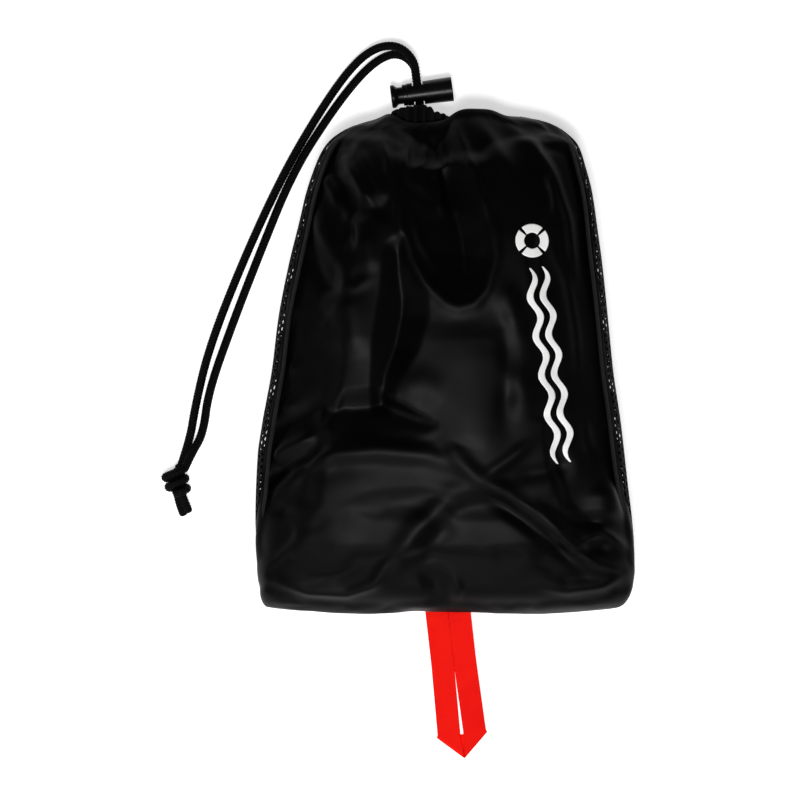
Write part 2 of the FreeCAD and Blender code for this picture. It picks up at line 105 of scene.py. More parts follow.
BAG_MIDDLE = (0.0, 0.0, 0.03)
area_light("high_key", BAG_MIDDLE, -8, 74, 1.3, 0.50, 0.36, 13.0)
area_light("base_low", BAG_MIDDLE, -14, 33, 1.2, 1.3, 0.30, 4.5)
area_light("left_soft", BAG_MIDDLE, -84, 30, 1.2, 0.4, 0.8, 0.8)
area_light("right_soft", BAG_MIDDLE, 84, 28, 1.2, 0.4, 0.8, 0.5)
area_light("mouth_strip", BAG_MIDDLE, 172, 58, 1.5, 1.0, 0.10, 0.12)

world = bpy.data.worlds.new("studio")
world.use_nodes = True
world.node_tree.nodes["Background"].inputs["Color"].default_value = (1, 1, 1, 1)
world.node_tree.nodes["Background"].inputs["Strength"].default_value = 0.04
bpy.context.scene.world = world


# %% [markdown]
# ## Materials
# Everything here is cloth, cord or moulded plastic, so three effects repeat: the
# crossing threads of a weave, a slow unevenness of colour and sheen, and a fine
# fibre grain. Each is a node group with named sockets, built once.

# %% Node group helpers
def effect_group(name, inputs, outputs):
    """A shader node group with named sockets, each given as (name, type, value)."""
    group = bpy.data.node_groups.new(name, "ShaderNodeTree")
    for label, kind, value in inputs:
        socket = group.interface.new_socket(label, in_out="INPUT", socket_type=kind)
        if value is not None:
            socket.default_value = value
    for label, kind in outputs:
        group.interface.new_socket(label, in_out="OUTPUT", socket_type=kind)
    start = group.nodes.new("NodeGroupInput")
    end = group.nodes.new("NodeGroupOutput")
    return group, start, end


def maths(tree, operation, *values):
    """One Math node; each value is a number or a socket. Returns its output."""
    node = tree.nodes.new("ShaderNodeMath")
    node.operation = operation
    for slot, value in zip(node.inputs, values):
        if isinstance(value, (int, float)):
            slot.default_value = value
        else:
            tree.links.new(value, slot)
    return node.outputs[0]


# %% Weave, unevenness and fibre
FLOAT, VECTOR = "NodeSocketFloat", "NodeSocketVector"


def weave_effect():
    """Crossing threads: the height of a plain weave with a given thread spacing."""
    group, start, end = effect_group(
        "crossing_threads",
        [("Cloth Place", VECTOR, None), ("Across", FLOAT, 0.8 * MM), ("Along", FLOAT, 0.8 * MM)],
        [("Height", FLOAT), ("Mask", FLOAT)],
    )
    parts = group.nodes.new("ShaderNodeSeparateXYZ")
    group.links.new(start.outputs["Cloth Place"], parts.inputs[0])
    waves = []
    for axis, spacing in (("X", "Across"), ("Y", "Along")):
        turns = maths(group, "DIVIDE", parts.outputs[axis], start.outputs[spacing])
        waves.append(maths(group, "SINE", maths(group, "MULTIPLY", turns, math.pi)))
    crossing = maths(group, "MULTIPLY", waves[0], waves[1])
    raised = maths(group, "MULTIPLY_ADD", crossing, 0.5, 0.5)
    group.links.new(raised, end.inputs["Height"])
    group.links.new(maths(group, "SMOOTH_MIN", raised, 0.8, 0.2), end.inputs["Mask"])
    return group


def uneven_effect():
    """Slow blotches, between a low and a high value."""
    group, start, end = effect_group(
        "slow_unevenness",
        [
            ("Place", VECTOR, None), ("Scale", FLOAT, 40.0), ("Low", FLOAT, 0.0),
            ("High", FLOAT, 1.0)
        ],
        [("Value", FLOAT)],
    )
    noise = group.nodes.new("ShaderNodeTexNoise")
    noise.inputs["Detail"].default_value = 3.0
    group.links.new(start.outputs["Place"], noise.inputs["Vector"])
    group.links.new(start.outputs["Scale"], noise.inputs["Scale"])
    spread = group.nodes.new("ShaderNodeMapRange")
    group.links.new(noise.outputs["Fac"], spread.inputs["Value"])
    spread.inputs["From Min"].default_value = 0.3
    spread.inputs["From Max"].default_value = 0.7
    group.links.new(start.outputs["Low"], spread.inputs["To Min"])
    group.links.new(start.outputs["High"], spread.inputs["To Max"])
    group.links.new(spread.outputs[0], end.inputs["Value"])
    return group


WEAVE = weave_effect()
UNEVEN = uneven_effect()


# %% A material maker
def place_group(tree, group, **values):
    """Put an effect in a material; a value is a number or a socket."""
    node = tree.nodes.new("ShaderNodeGroup")
    node.node_tree = group
    for name, value in values.items():
        slot = node.inputs[name.replace("_", " ")]
        if isinstance(value, (int, float)):
            slot.default_value = value
        else:
            tree.links.new(value, slot)
    return node


def colour_between(tree, mask, dark, light):
    """A colour that goes from dark to light with a mask."""
    mix = tree.nodes.new("ShaderNodeMix")
    mix.data_type = "RGBA"
    tree.links.new(mask, mix.inputs[0])
    mix.inputs[6].default_value = (*dark, 1)
    mix.inputs[7].default_value = (*light, 1)
    return mix.outputs[2]


def bumped(tree, shader, height, depth, strength):
    """Feed a height into the shader's normal; depth is in metres."""
    bump = tree.nodes.new("ShaderNodeBump")
    bump.inputs["Distance"].default_value = depth
    bump.inputs["Strength"].default_value = strength
    tree.links.new(height, bump.inputs["Height"])
    tree.links.new(bump.outputs[0], shader.inputs["Normal"])


def new_material(name, roughness, **settings):
    """A Principled material; constants go straight on its own sockets."""
    material = bpy.data.materials.new(name)
    material.use_nodes = True
    shader = material.node_tree.nodes["Principled BSDF"]
    shader.inputs["Roughness"].default_value = roughness
    for label, value in settings.items():
        shader.inputs[label.replace("_", " ")].default_value = value
    return material, material.node_tree, shader


def object_place(tree):
    return tree.nodes.new("ShaderNodeTexCoord").outputs["Object"]


def blotches(tree, scale, low=0.0, high=1.0):
    """Slow unevenness over the object, between two values."""
    node = place_group(tree, UNEVEN, Place=object_place(tree), Scale=scale, Low=low, High=high)
    return node.outputs["Value"]


def paint(tree, shader, mask, dark, light):
    """The base colour, from dark to light with a mask."""
    tree.links.new(colour_between(tree, mask, dark, light), shader.inputs["Base Color"])


def cloth_place(tree):
    """The flat cloth coordinates that each cloth piece carries, in metres."""
    node = tree.nodes.new("ShaderNodeUVMap")
    node.uv_map = "cloth"
    return node.outputs[0]


# %% Fabric materials
def coated_nylon():
    """Black plain-woven nylon with a coating: deep black with a soft satin sheen."""
    material, tree, shader = new_material("coated_nylon", 0.46, Specular_IOR_Level=0.075)
    threads = place_group(
        tree, WEAVE, Cloth_Place=cloth_place(tree), Across=0.5 * MM, Along=0.5 * MM
    )
    both = maths(tree, "MULTIPLY", threads.outputs["Mask"], blotches(tree, 26.0, 0.2))
    paint(tree, shader, both, (0.0002, 0.0002, 0.0003), (0.0008, 0.0008, 0.0010))
    tree.links.new(blotches(tree, 60.0, 0.42, 0.50), shader.inputs["Roughness"])
    bumped(tree, shader, threads.outputs["Height"], 0.03 * MM, 0.5)
    return material


def dull_cloth(name, dark, light, spacing):
    """Tape, net yarn or thread: a matte cloth with a visible weave."""
    material, tree, shader = new_material(name, 0.85, Specular_IOR_Level=0.12)
    threads = place_group(
        tree, WEAVE, Cloth_Place=object_place(tree), Across=spacing * MM, Along=spacing * MM
    )
    both = maths(tree, "MULTIPLY", threads.outputs["Mask"], blotches(tree, 300.0, 0.2))
    paint(tree, shader, both, dark, light)
    bumped(tree, shader, threads.outputs["Height"], 0.08 * MM, 0.6)
    return material


def cord_cover(name, dark, light, roughness):
    """Braided yarn: the plait is in the mesh, so this adds only fine fibres."""
    material, tree, shader = new_material(name, roughness, Specular_IOR_Level=0.07)
    fibres = blotches(tree, 2600.0)
    paint(tree, shader, fibres, dark, light)
    bumped(tree, shader, fibres, 0.06 * MM, 0.5)
    return material


def red_webbing():
    """Flat woven polyester tape: saturated red with ribs across it."""
    material, tree, shader = new_material("red_webbing", 0.7, Specular_IOR_Level=0.08)
    ribs = place_group(
        tree, WEAVE, Cloth_Place=cloth_place(tree), Across=0.62 * MM, Along=0.65 * MM
    )
    both = maths(tree, "MULTIPLY", ribs.outputs["Mask"], blotches(tree, 120.0, 0.45))
    paint(tree, shader, both, (0.78, 0.0015, 0.0008), (1.0, 0.012, 0.003))
    bumped(tree, shader, ribs.outputs["Height"], 0.12 * MM, 0.7)
    return material


def print_ink():
    """Flat white screen print, with the weave just showing through it."""
    material, tree, shader = new_material("print_ink", 0.55, Specular_IOR_Level=0.3)
    blotch = blotches(tree, 900.0, 0.6)
    paint(tree, shader, blotch, (0.86, 0.86, 0.85), (0.97, 0.97, 0.96))
    bumped(tree, shader, blotch, 0.03 * MM, 0.4)
    return material


NYLON = coated_nylon()
NET_YARN = dull_cloth("net_yarn", (0.0006, 0.0006, 0.0007), (0.0028, 0.0028, 0.0032), 0.45)
TAPE = dull_cloth("binding_tape", (0.004, 0.004, 0.004), (0.016, 0.016, 0.017), 0.5)
THREAD = dull_cloth("sewing_thread", (0.006, 0.006, 0.006), (0.03, 0.03, 0.032), 0.25)
DRAWCORD = cord_cover("drawcord_yarn", (0.0002, 0.0002, 0.0003), (0.0020, 0.0020, 0.0023), 0.62)
FLOATING = cord_cover("floating_rope_yarn", (0.62, 0.60, 0.54), (0.86, 0.85, 0.80), 0.5)
RED_TAPE = red_webbing()
RED_THREAD = dull_cloth("red_thread", (0.45, 0.004, 0.002), (0.75, 0.012, 0.004), 0.3)
INK = print_ink()


# %% Hard materials
def lock_plastic():
    """Polished black acetal, with faint handling marks in the gloss."""
    material, tree, shader = new_material("lock_plastic", 0.28, Specular_IOR_Level=0.15)
    tree.links.new(blotches(tree, 160.0, 0.25, 0.31), shader.inputs["Roughness"])
    paint(tree, shader, blotches(tree, 90.0), (0.0015, 0.0015, 0.0015), (0.004, 0.004, 0.004))
    return material


def spring_wire():
    """Drawn steel wire with fine draw lines."""
    material, tree, shader = new_material("spring_wire", 0.3, Metallic=1.0)
    lines = blotches(tree, 1500.0)
    paint(tree, shader, lines, (0.42, 0.43, 0.45), (0.62, 0.63, 0.65))
    bumped(tree, shader, lines, 0.02 * MM, 0.3)
    return material


LOCK_PLASTIC = lock_plastic()
SPRING_WIRE = spring_wire()


# %% Floor
def floor_material():
    material, tree, shader = new_material(
        "studio_floor", 0.9, Specular_IOR_Level=0.1, Emission_Strength=0.60, Emission_Color=(1,
        1, 1, 1)
    )
    paint(tree, shader, blotches(tree, 30.0), (0.93, 0.93, 0.93), (0.95, 0.95, 0.95))
    return material


FLOOR_GAP = 0.2 * MM
bpy.ops.mesh.primitive_plane_add(size=8.0, location=(0, 0, -FLOOR_GAP))
floor = bpy.context.object
floor.name = "studio_floor"
floor.data.materials.append(floor_material())


# %% [markdown]
# ## Mesh helpers
# Cloth pieces are grids of rows and columns, so that the folds and the thread
# direction follow the cut of the cloth. Each carries a "cloth" layer with its flat
# position in metres, which is what the weave reads.

# %% Grids and pieces
def grid_faces(rows, columns, around=False):
    """Quads of a grid whose points run row by row; around closes each row."""
    faces = []
    for i in range(rows - 1):
        for j in range(columns if around else columns - 1):
            k = (j + 1) % columns
            faces.append(
                (i * columns + j, i * columns + k, (i + 1) * columns + k, (i + 1) * columns + j)
            )
    return faces


def make_piece(name, points, faces, material, body, cloth=None, smooth=True):
    """A mesh object in the row frame, on its body and with its material."""
    data = bpy.data.meshes.new(name)
    data.from_pydata([tuple(map(float, p)) for p in points], [], faces)
    data.materials.append(material)
    if cloth is not None:
        layer = data.uv_layers.new(name="cloth")
        corners = np.empty(len(data.loops), dtype=np.int64)
        data.loops.foreach_get("vertex_index", corners)
        layer.data.foreach_set("uv", np.asarray(cloth, float)[corners].ravel())
    if smooth:
        data.shade_smooth()
    piece = bpy.data.objects.new(name, data)
    bpy.context.scene.collection.objects.link(piece)
    if body:
        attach(piece, body)
    print(name, len(data.vertices), "points")
    return piece


def thicken(piece, thickness, offset=-1.0):
    """Give a sheet its real thickness; offset -1 grows it inwards."""
    solid = piece.modifiers.new("thickness", "SOLIDIFY")
    solid.thickness = thickness
    solid.offset = offset
    return piece


def line_through(places, values):
    """A smooth curve through a few given points, with no overshoot."""
    xs, ys = np.asarray(places, float), np.asarray(values, float)
    steps = np.diff(xs)
    rises = np.diff(ys) / steps
    slopes = np.zeros_like(ys)
    slopes[0], slopes[-1] = rises[0], rises[-1]
    for i in range(1, len(xs) - 1):
        if rises[i - 1] * rises[i] > 0:
            a, b = 2 * steps[i] + steps[i - 1], steps[i] + 2 * steps[i - 1]
            slopes[i] = (a + b) / (a / rises[i - 1] + b / rises[i])

    def at(x):
        x = np.clip(np.asarray(x, float), xs[0], xs[-1])
        i = np.clip(np.searchsorted(xs, x) - 1, 0, len(xs) - 2)
        t = (x - xs[i]) / steps[i]
        a, b = ys[i], ys[i + 1]
        da, db = slopes[i] * steps[i], slopes[i + 1] * steps[i]
        return a + t * da + t**2 * (3 * (b - a) - 2 * da - db) + t**3 * (2 * (a - b) + da + db)

    return at


# %% [markdown]
# ## The form of the stuffed bag
# Front and back are two cloths sewn together along the sides and the base. Both
# lie on one form, described by a few smooth lines along the bag: its left and
# right outline, the height of its crown, of its widest level and of the seam.
# Working from these lines keeps the two cloths meeting exactly at the seam.

# %% The lines of the form, in millimetres
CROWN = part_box("front_panel")[1].z / MM - 0.4
BASE_SEAM_Y = -111.5
MOUTH_Y = 110.0
ROUNDNESS = 2 / 2.5

left_outline = line_through(
    (
        -111.5, -110.3, -106.7, -99, -86, -71, -43, -29, -4, 18, 42, 62, 76, 86, 93, 97.5, 101,
        105, 108, 110
    ),
    (-69, -76, -81.2, -83.8, -84.6, -85.2, -84.2, -82.2, -77.7, -75.0, -70.4, -65.5, -62.2,
     -58.9, -56.0, -53.2, -49.6, -43.0, -34, -27),
)
right_outline = line_through(
    (
        -111.5, -110.3, -106.7, -99, -86, -71, -58, -29, -4, 18, 43, 60, 76, 86, 97, 102, 106,
        108.5, 110
    ),
    (66, 72.5, 79.5, 84.2, 85.1, 84.0, 82.4, 79.1, 75.5, 73.3, 70.7, 68.4, 66.1, 63.6, 60.0,
     55.5, 49.5, 42.5, 34),
)
seam_height = line_through(
    (-111.5, -109, -104, -95, -84, -72, -60, -30, 40, 70, 90, 104, 110),
    (5, 6, 8.5, 13, 19, 26, 31, 33, 33, 30, 25, 18, 14),
)
widest_height = line_through(
    (-111.5, -109.5, -106, -100, -90, -70, 60, 85, 100, 110),
    (5.0, 9.5, 14, 18.5, 21.4, 21.8, 21.4, 18.5, 15.0, 12.5),
)
underside_height = line_through(
    (-111.5, -110, -107, -102, 90, 102, 110), (5.0, 2.6, 0.9, 0.3, 0.3, 0.6, 2.5)
)

# the line down the middle of the front: over the crown and round the base
SPINE_Y = (
    110.0, 107, 102, 95, 84, 66, 40, 10, -30, -60, -80, -94, -103, -109, -112, -113.3, -113.4,
    -112.9, -111.5
)
SPINE_Z = (
    22.0, 26.5, 31, 36, 42, 47.5, 50.6, CROWN, CROWN - 0.6, 49.6, 47, 44, 40, 34.5, 29, 23, 17,
    10, 5
)
CURL_FROM = -95.0
spine_crown = line_through(
    (-111.5, -109, -103, -94, -80, -60, -30, 10, 40, 66, 84, 95, 102, 107, 110),
    (5.2, 24, 40, 44, 47, 49.6, CROWN - 0.6, CROWN, 50.6, 47.5, 42, 36, 31, 26.5, 22),
)


# %% Points on the form
def run_flat(a, b):
    """The length along a line in a plane, up to each of its points."""
    return np.concatenate([[0], np.cumsum(np.hypot(np.diff(a), np.diff(b)))])


def middle_and_half(y):
    """The middle of the bag and half its width, at a place along it."""
    left, right = left_outline(y), right_outline(y)
    return 0.5 * (left + right), 0.5 * (right - left)


def rounded(angles):
    """Shares across and up of the bag's rounded section, at some angles."""
    across, up = np.cos(angles), np.sin(angles)
    return np.sign(across) * np.abs(across) ** ROUNDNESS, np.sign(up) * np.abs(up) ** ROUNDNESS


def seam_point(y, side):
    """Where the seam runs at a place along the bag; side is -1 left, 1 right."""
    waist = widest_height(y)
    rise = seam_height(y)
    top = np.maximum(spine_crown(y), waist + 0.01)
    share = np.where(
        rise >= waist, (rise - waist) / (top - waist), (waist - rise) / np.maximum(waist, 1e-6)
    )
    angle = np.arcsin(np.clip(share, 0, 1) ** (1 / ROUNDNESS)) * np.where(rise >= waist, 1, -1)
    middle, half = middle_and_half(y)
    return middle + side * half * np.cos(angle) ** ROUNDNESS, rise, angle


def spine(count):
    """Evenly spaced points along the middle line, with the share of the base curl."""
    fine = np.linspace(0, len(SPINE_Y) - 1, 2000)
    index = np.arange(len(SPINE_Y))
    y = line_through(index, SPINE_Y)(fine)
    z = line_through(index, SPINE_Z)(fine)
    run = run_flat(y, z)
    spots = np.linspace(0, run[-1], count)
    curl_start = run[np.argmax(y < CURL_FROM)]
    share = np.clip((spots - curl_start) / (run[-1] - curl_start), 0, 1)
    return np.interp(spots, run, y), np.interp(spots, run, z), share, run[-1]


def front_grid(rows, columns):
    """The front cloth's points, row by row from the mouth to the base seam."""
    y_mid, crown, curl, length = spine(rows)
    y_end = np.where(curl > 0, CURL_FROM + (BASE_SEAM_Y - CURL_FROM) * curl**0.85, y_mid)
    points = np.zeros((rows, columns, 3))
    cloth = np.zeros((rows, columns, 2))
    for i in range(rows):
        middle, half = middle_and_half(y_end[i])
        waist = min(float(widest_height(y_end[i])), crown[i])
        _, rise, angle = seam_point(y_end[i], 1)
        fine = np.linspace(angle, math.pi - angle, 400)
        reach, lift = rounded(fine)
        x = middle + half * reach
        z = np.where(lift > 0, waist + (crown[i] - waist) * lift, waist + waist * lift)
        run = run_flat(x, z)
        spots = np.linspace(0, run[-1], columns)
        points[i, :, 0] = np.interp(spots, run, x)
        points[i, :, 2] = np.interp(spots, run, z)
        mix = np.clip((points[i, :, 2] - rise) / max(crown[i] - float(rise), 0.5), 0, 1) ** 0.6
        points[i, :, 1] = y_end[i] + (y_mid[i] - y_end[i]) * mix
        cloth[i, :, 0] = spots - 0.5 * run[-1]
        cloth[i, :, 1] = length * i / (rows - 1)
    return points, cloth


# %% [markdown]
# ## Folds of the front
# Loose cloth over coiled rope makes three kinds of shape: soft ridges where it is
# pulled towards the seams, creases between them, and hollows with a steep edge. A
# ridge or crease is a stroke, a few points with a width and a height. A hollow is
# an outline. All are pressed into the cloth after it has relaxed.

# %% Ridges and creases: points across and along the bag, half width and height, in mm
RIDGES = (
    # rim of the tongue-shaped hollow below the mouth
    (
        (
            (-22, 90), (-21, 62), (-16.5, 46), (-10, 34.5), (0, 25), (6, 23), (13, 25),
            (18.5, 31), (23, 46), (22, 62)
        ),
        2.2, 1.5
    ),
    (((-15, 66), (-11, 52), (-5, 42)), 1.4, 0.9),
    (((-4, 92), (-3, 80), (-1, 66)), 1.8, 1.6),
    # the long panel down the middle, and the flap to its left
    (((8, 18), (9, 0), (11, -20), (14, -40), (14.5, -52)), 12.0, 2.8),
    (((-21, -14), (-10, -11), (0, -16)), 6.0, 2.4),
    # the patches on the left
    (((-59, 67), (-51, 51), (-43, 37)), 4.2, 2.6),
    (((-37, 58), (-34, 46), (-33, 38)), 5.5, 1.8),
    (((-46, 33), (-42, 20), (-40, 0)), 8.0, 2.6),
    (((-48, 33), (-40, 32), (-33, 37)), 2.2, 1.0),
    # radiating gathers, top left
    (((-56, 84), (-50, 76), (-46, 66)), 2.4, 1.6),
    (((-46, 92), (-38, 78), (-31, 66)), 2.2, 1.9),
    (((-40, 96), (-33, 84), (-27, 72)), 1.6, 1.2),
    (((-30, 100), (-26, 90), (-24, 76)), 1.8, 1.4),
    (((-16, 104), (-17, 94), (-19, 82)), 1.5, 1.3),
    (((-9, 104), (-9, 96), (-12, 86)), 1.4, 1.2),
    (((-3, 104), (-1, 94), (0, 84)), 1.4, 1.3),
    (((4, 104), (9, 94), (14, 80), (18, 66)), 2.2, 1.5),
    (((12, 106), (22, 95), (30, 82)), 4.0, 1.6),
    (((28, 106), (38, 96), (46, 84)), 2.6, 1.3),
    # streaks down the right side
    (((38, 100), (48, 84), (55, 62), (58, 34)), 2.0, 1.3),
    (((40, 92), (46, 70), (49, 44)), 3.0, 0.8),
    (((48, 50), (54, 36), (58, 14), (60, -10)), 2.2, 1.0),
    (((66, 30), (69, 4), (72, -24)), 2.0, 0.9),
    # blotchy swellings between the print and the middle
    (((24, 34), (30, 22), (31, 12)), 4.5, 1.2),
    (((26, -2), (34, -14), (34, -28)), 6.0, 1.5),
    (((52, -34), (58, -46), (57, -54)), 5.0, 1.2),
    # the crossing pulls in the lower middle
    (((4, -44), (15, -53), (28, -60), (43, -69), (58, -84), (74, -95)), 3.4, 2.3),
    (((15, -53), (26, -46), (39, -36)), 2.4, 1.8),
    (((14, -54), (0, -64), (-14, -78), (-24, -92), (-34, -102)), 5.5, 2.4),
    (((0, -36), (8, -46), (14, -53)), 3.0, 1.8),
    # the leaf-shaped swelling, lower left
    (((-76, -63), (-66, -50), (-50, -42), (-30, -40.5), (-8, -42), (6, -48)), 4.0, 2.6),
    (((-70, -66), (-50, -58), (-28, -54)), 9.0, 1.2),
    (((-82, -46), (-70, -39), (-56, -33)), 2.6, 2.6),
    (((-76, -24), (-68, -20)), 2.6, 1.4),
    (((-72, -6), (-66, -2)), 2.2, 1.2),
    (((-72, -78), (-58, -86), (-40, -88)), 8.0, 1.4),
    # oval bulge and arcs, lower right
    (((69, -55), (72.5, -63), (71, -72)), 8.0, 4.2),
    (((57, -83), (69, -76.5), (82, -85)), 2.2, 2.4),
    (((58, -88), (70, -91), (83, -95)), 1.8, 1.6),
    (((40, -100), (54, -103), (70, -101), (82, -96)), 2.2, 1.6),
    # lines along the base, left
    (((-76, -99), (-62, -103.5), (-44, -104.5), (-32, -100), (-26, -90)), 2.0, 2.2),
    (((2, -96), (6, -102), (5, -108)), 1.6, 1.4),
)
CREASES = (
    (((-62, 50), (-54, 34), (-44, 27)), 2.6, 1.8),
    (((-45, 66), (-41, 50)), 1.8, 1.4),
    (((-53, 88), (-45, 76), (-40, 64)), 2.0, 1.6),
    (((-80, -32), (-66, -26), (-54, -18)), 4.0, 1.8),
    (((-78, -66), (-70, -68)), 2.6, 1.6),
    (((20, -62), (34, -71), (50, -84), (62, -94)), 3.0, 2.4),
    (((30, -52), (44, -50), (58, -46)), 3.4, 1.6),
    (((2, -70), (-6, -82), (-8, -92)), 6.0, 1.8),
    (((26, 18), (28, -4), (26, -30)), 4.0, 1.2),
    (((34, 30), (42, 10), (44, -14)), 5.0, 1.2),
    (((62, -26), (66, -44)), 3.0, 1.4),
    (((56, -72), (70, -72.5)), 2.0, 1.6),
    (((62, -84), (74, -84)), 2.4, 2.0),
    (((-62, -98), (-48, -97), (-38, -92)), 2.4, 1.6),
    (((40, -92), (54, -97), (70, -97)), 2.6, 1.4),
)

# %% Hollows: corners of an outline, each with how steeply the cloth falls from
# the edge after it. No hollow goes past the deepest.
DEEPEST = 7.5
HOLLOWS = (
    # the tongue below the mouth
    ((-21, 106, .40), (-20.5, 92, .34), (-19.5, 75, .32), (-19, 61, .32), (-15, 48, .36),
     (-9, 37, .42), (0, 27.5, .5),
     (5.6, 25.5, .6), (12, 27, .62), (16.5, 32, .62), (20.7, 45, .62), (19.5, 58, .62), (16.5,
     70, .62), (11, 84, .62),
     (6, 98, .62), (3, 106, .8)),
    # the band left of the middle
    ((-18, 58, .6), (-27, 52, .62), (-29.5, 32, .62), (-32, 13, .62), (-34, -10, .62),
     (-34, -24, .7), (-25, -24, .7),
     (-21, -10, .62), (-12, 4, .58), (-7, 20, .55), (-8, 30, .55), (-13, 42, .6)),
    # the pocket that it opens into
    ((-54, -31, .38), (-45, -36, .38), (-22.5, -36.8, .38), (-9, -34, .38), (-1.5, -29, 1.5),
     (-12, -24, 1.5),
     (-24.5, -17, 1.2), (-31, -12, .7), (-45, -14, .9), (-55, -21, .9)),
    # under the light streak at the left edge
    (
        (-85, -60, .45), (-85, -50, .9), (-68, -43, .9), (-53, -37, .45), (-58, -47, .45),
        (-70, -55, .45)
    ),
    # above the left patches
    ((-44, 63, .4), (-30, 61, .4), (-22, 62, .4), (-23, 74, .4), (-34, 74, .4), (-44, 70, .4)),
    # above the webbing
    ((-13, -95, .35), (-4, -91, .35), (4, -97, .35), (3, -108, .35), (-9, -111, .35)),
)


def hollow_depth(points, outline):
    """How far each point is pressed in by one hollow; nothing outside its outline."""
    corners = np.asarray(outline, float)
    depth = np.full(len(points), 1e9)
    inside = np.zeros(len(points), bool)
    x, y = points[:, 0], points[:, 1]
    for start, end in zip(corners, np.roll(corners, -1, axis=0)):
        way = end[:2] - start[:2]
        t = np.clip(((points[:, :2] - start[:2]) @ way) / (way @ way), 0, 1)
        gap = np.hypot(*(points[:, :2] - start[:2] - np.outer(t, way)).T)
        depth = np.minimum(depth, start[2] * gap)
        crosses = (start[1] > y) != (end[1] > y)
        rise = way[1] if way[1] else 1e-9
        inside ^= crosses & (x < start[0] + (y - start[1]) / rise * way[0])
    return np.where(inside, np.minimum(depth, DEEPEST), 0.0)


def stroke_height(points, stroke):
    """How high one stroke stands at each point, fading at its two ends."""
    spots, half_width, height = stroke
    flat = points[:, :2]
    spots = np.asarray(spots, float)
    lengths = np.hypot(*np.diff(spots, axis=0).T)
    total = lengths.sum()
    best = np.full(len(flat), 1e9)
    along = np.zeros(len(flat))
    before = 0.0
    for a, b, span in zip(spots, spots[1:], lengths):
        way = (b - a) / span
        t = np.clip((flat - a) @ way, 0, span)
        gap = np.hypot(*(flat - a - np.outer(t, way)).T)
        nearer = gap < best
        best = np.where(nearer, gap, best)
        along = np.where(nearer, before + t, along)
        before += span
    fade = np.clip(np.minimum(along, total - along) / (0.35 * total) + 0.25, 0, 1)
    return height * fade * np.exp(-((best / half_width) ** 2))


def softened(field, passes):
    """Average each point of a grid with its four neighbours, a few times."""
    for _ in range(passes):
        wide = np.pad(field, [(1, 1), (1, 1)] + [(0, 0)] * (field.ndim - 2), mode="edge")
        around = wide[:-2, 1:-1] + wide[2:, 1:-1] + wide[1:-1, :-2] + wide[1:-1, 2:]
        field = 0.5 * field + 0.125 * around
    return field


def press_folds(points, cloth_width_share):
    """Push ridges, creases and hollows into the front along its own normals."""
    rows, columns, _ = points.shape
    flat = points.reshape(-1, 3)
    lift = np.zeros(len(flat))
    for stroke in RIDGES:
        lift += stroke_height(flat, stroke)
    for stroke in CREASES:
        lift -= stroke_height(flat, stroke)
    for hollow in HOLLOWS:
        lift -= hollow_depth(flat, hollow)
    lift = softened(lift.reshape(rows, columns), 2)
    across = np.gradient(points, axis=1)
    down = np.gradient(points, axis=0)
    normal = np.cross(across, down).reshape(-1, 3)
    normal /= np.maximum(np.linalg.norm(normal, axis=1, keepdims=True), 1e-9)
    normal *= np.sign(normal[:, 2:3] + 1e-3)
    edge = np.minimum(
        np.clip((1 - np.abs(cloth_width_share)) / 0.10, 0, 1),
        np.clip((rows - 1 - np.arange(rows))[:, None] / (0.05 * rows), 0, 1),
    )
    lift = (lift * edge).ravel()
    return (flat + normal * lift[:, None]).reshape(rows, columns, 3)


# %% The mouth line of the front cloth
def shape_mouth(points):
    """Dip the front's edge where the gathered hem stands beyond it."""
    x, y = points[..., 0], points[..., 1]
    near = np.clip((y - 92) / (MOUTH_Y - 92), 0, 1) ** 1.5
    dip = -2.6 * np.exp(-(((x + 10) / 12.0) ** 4))
    roll = 3.2 * np.exp(-(((x - 14) / 11.0) ** 4)) + 1.5 * np.exp(-(((x + 24) / 5.0) ** 2))
    points[..., 1] += near * (dip + roll)
    return points


# %% [markdown]
# ## Front panel
# The grid goes from the mouth over the crown and round the base to the base seam,
# with points about 1.5 mm apart. The cloth first relaxes with its edges held by
# the seams, slightly longer than the space that it covers. The folds come after.

# %% Build and relax the front
FRONT_ROWS, FRONT_COLUMNS = 176, 150
GROWTH = -0.010
CAP = 1.7 * MM
NYLON_THICK = 0.35 * MM
SOFT_TOP = 4.0  # how far above the crown the folds can rise, in millimetres


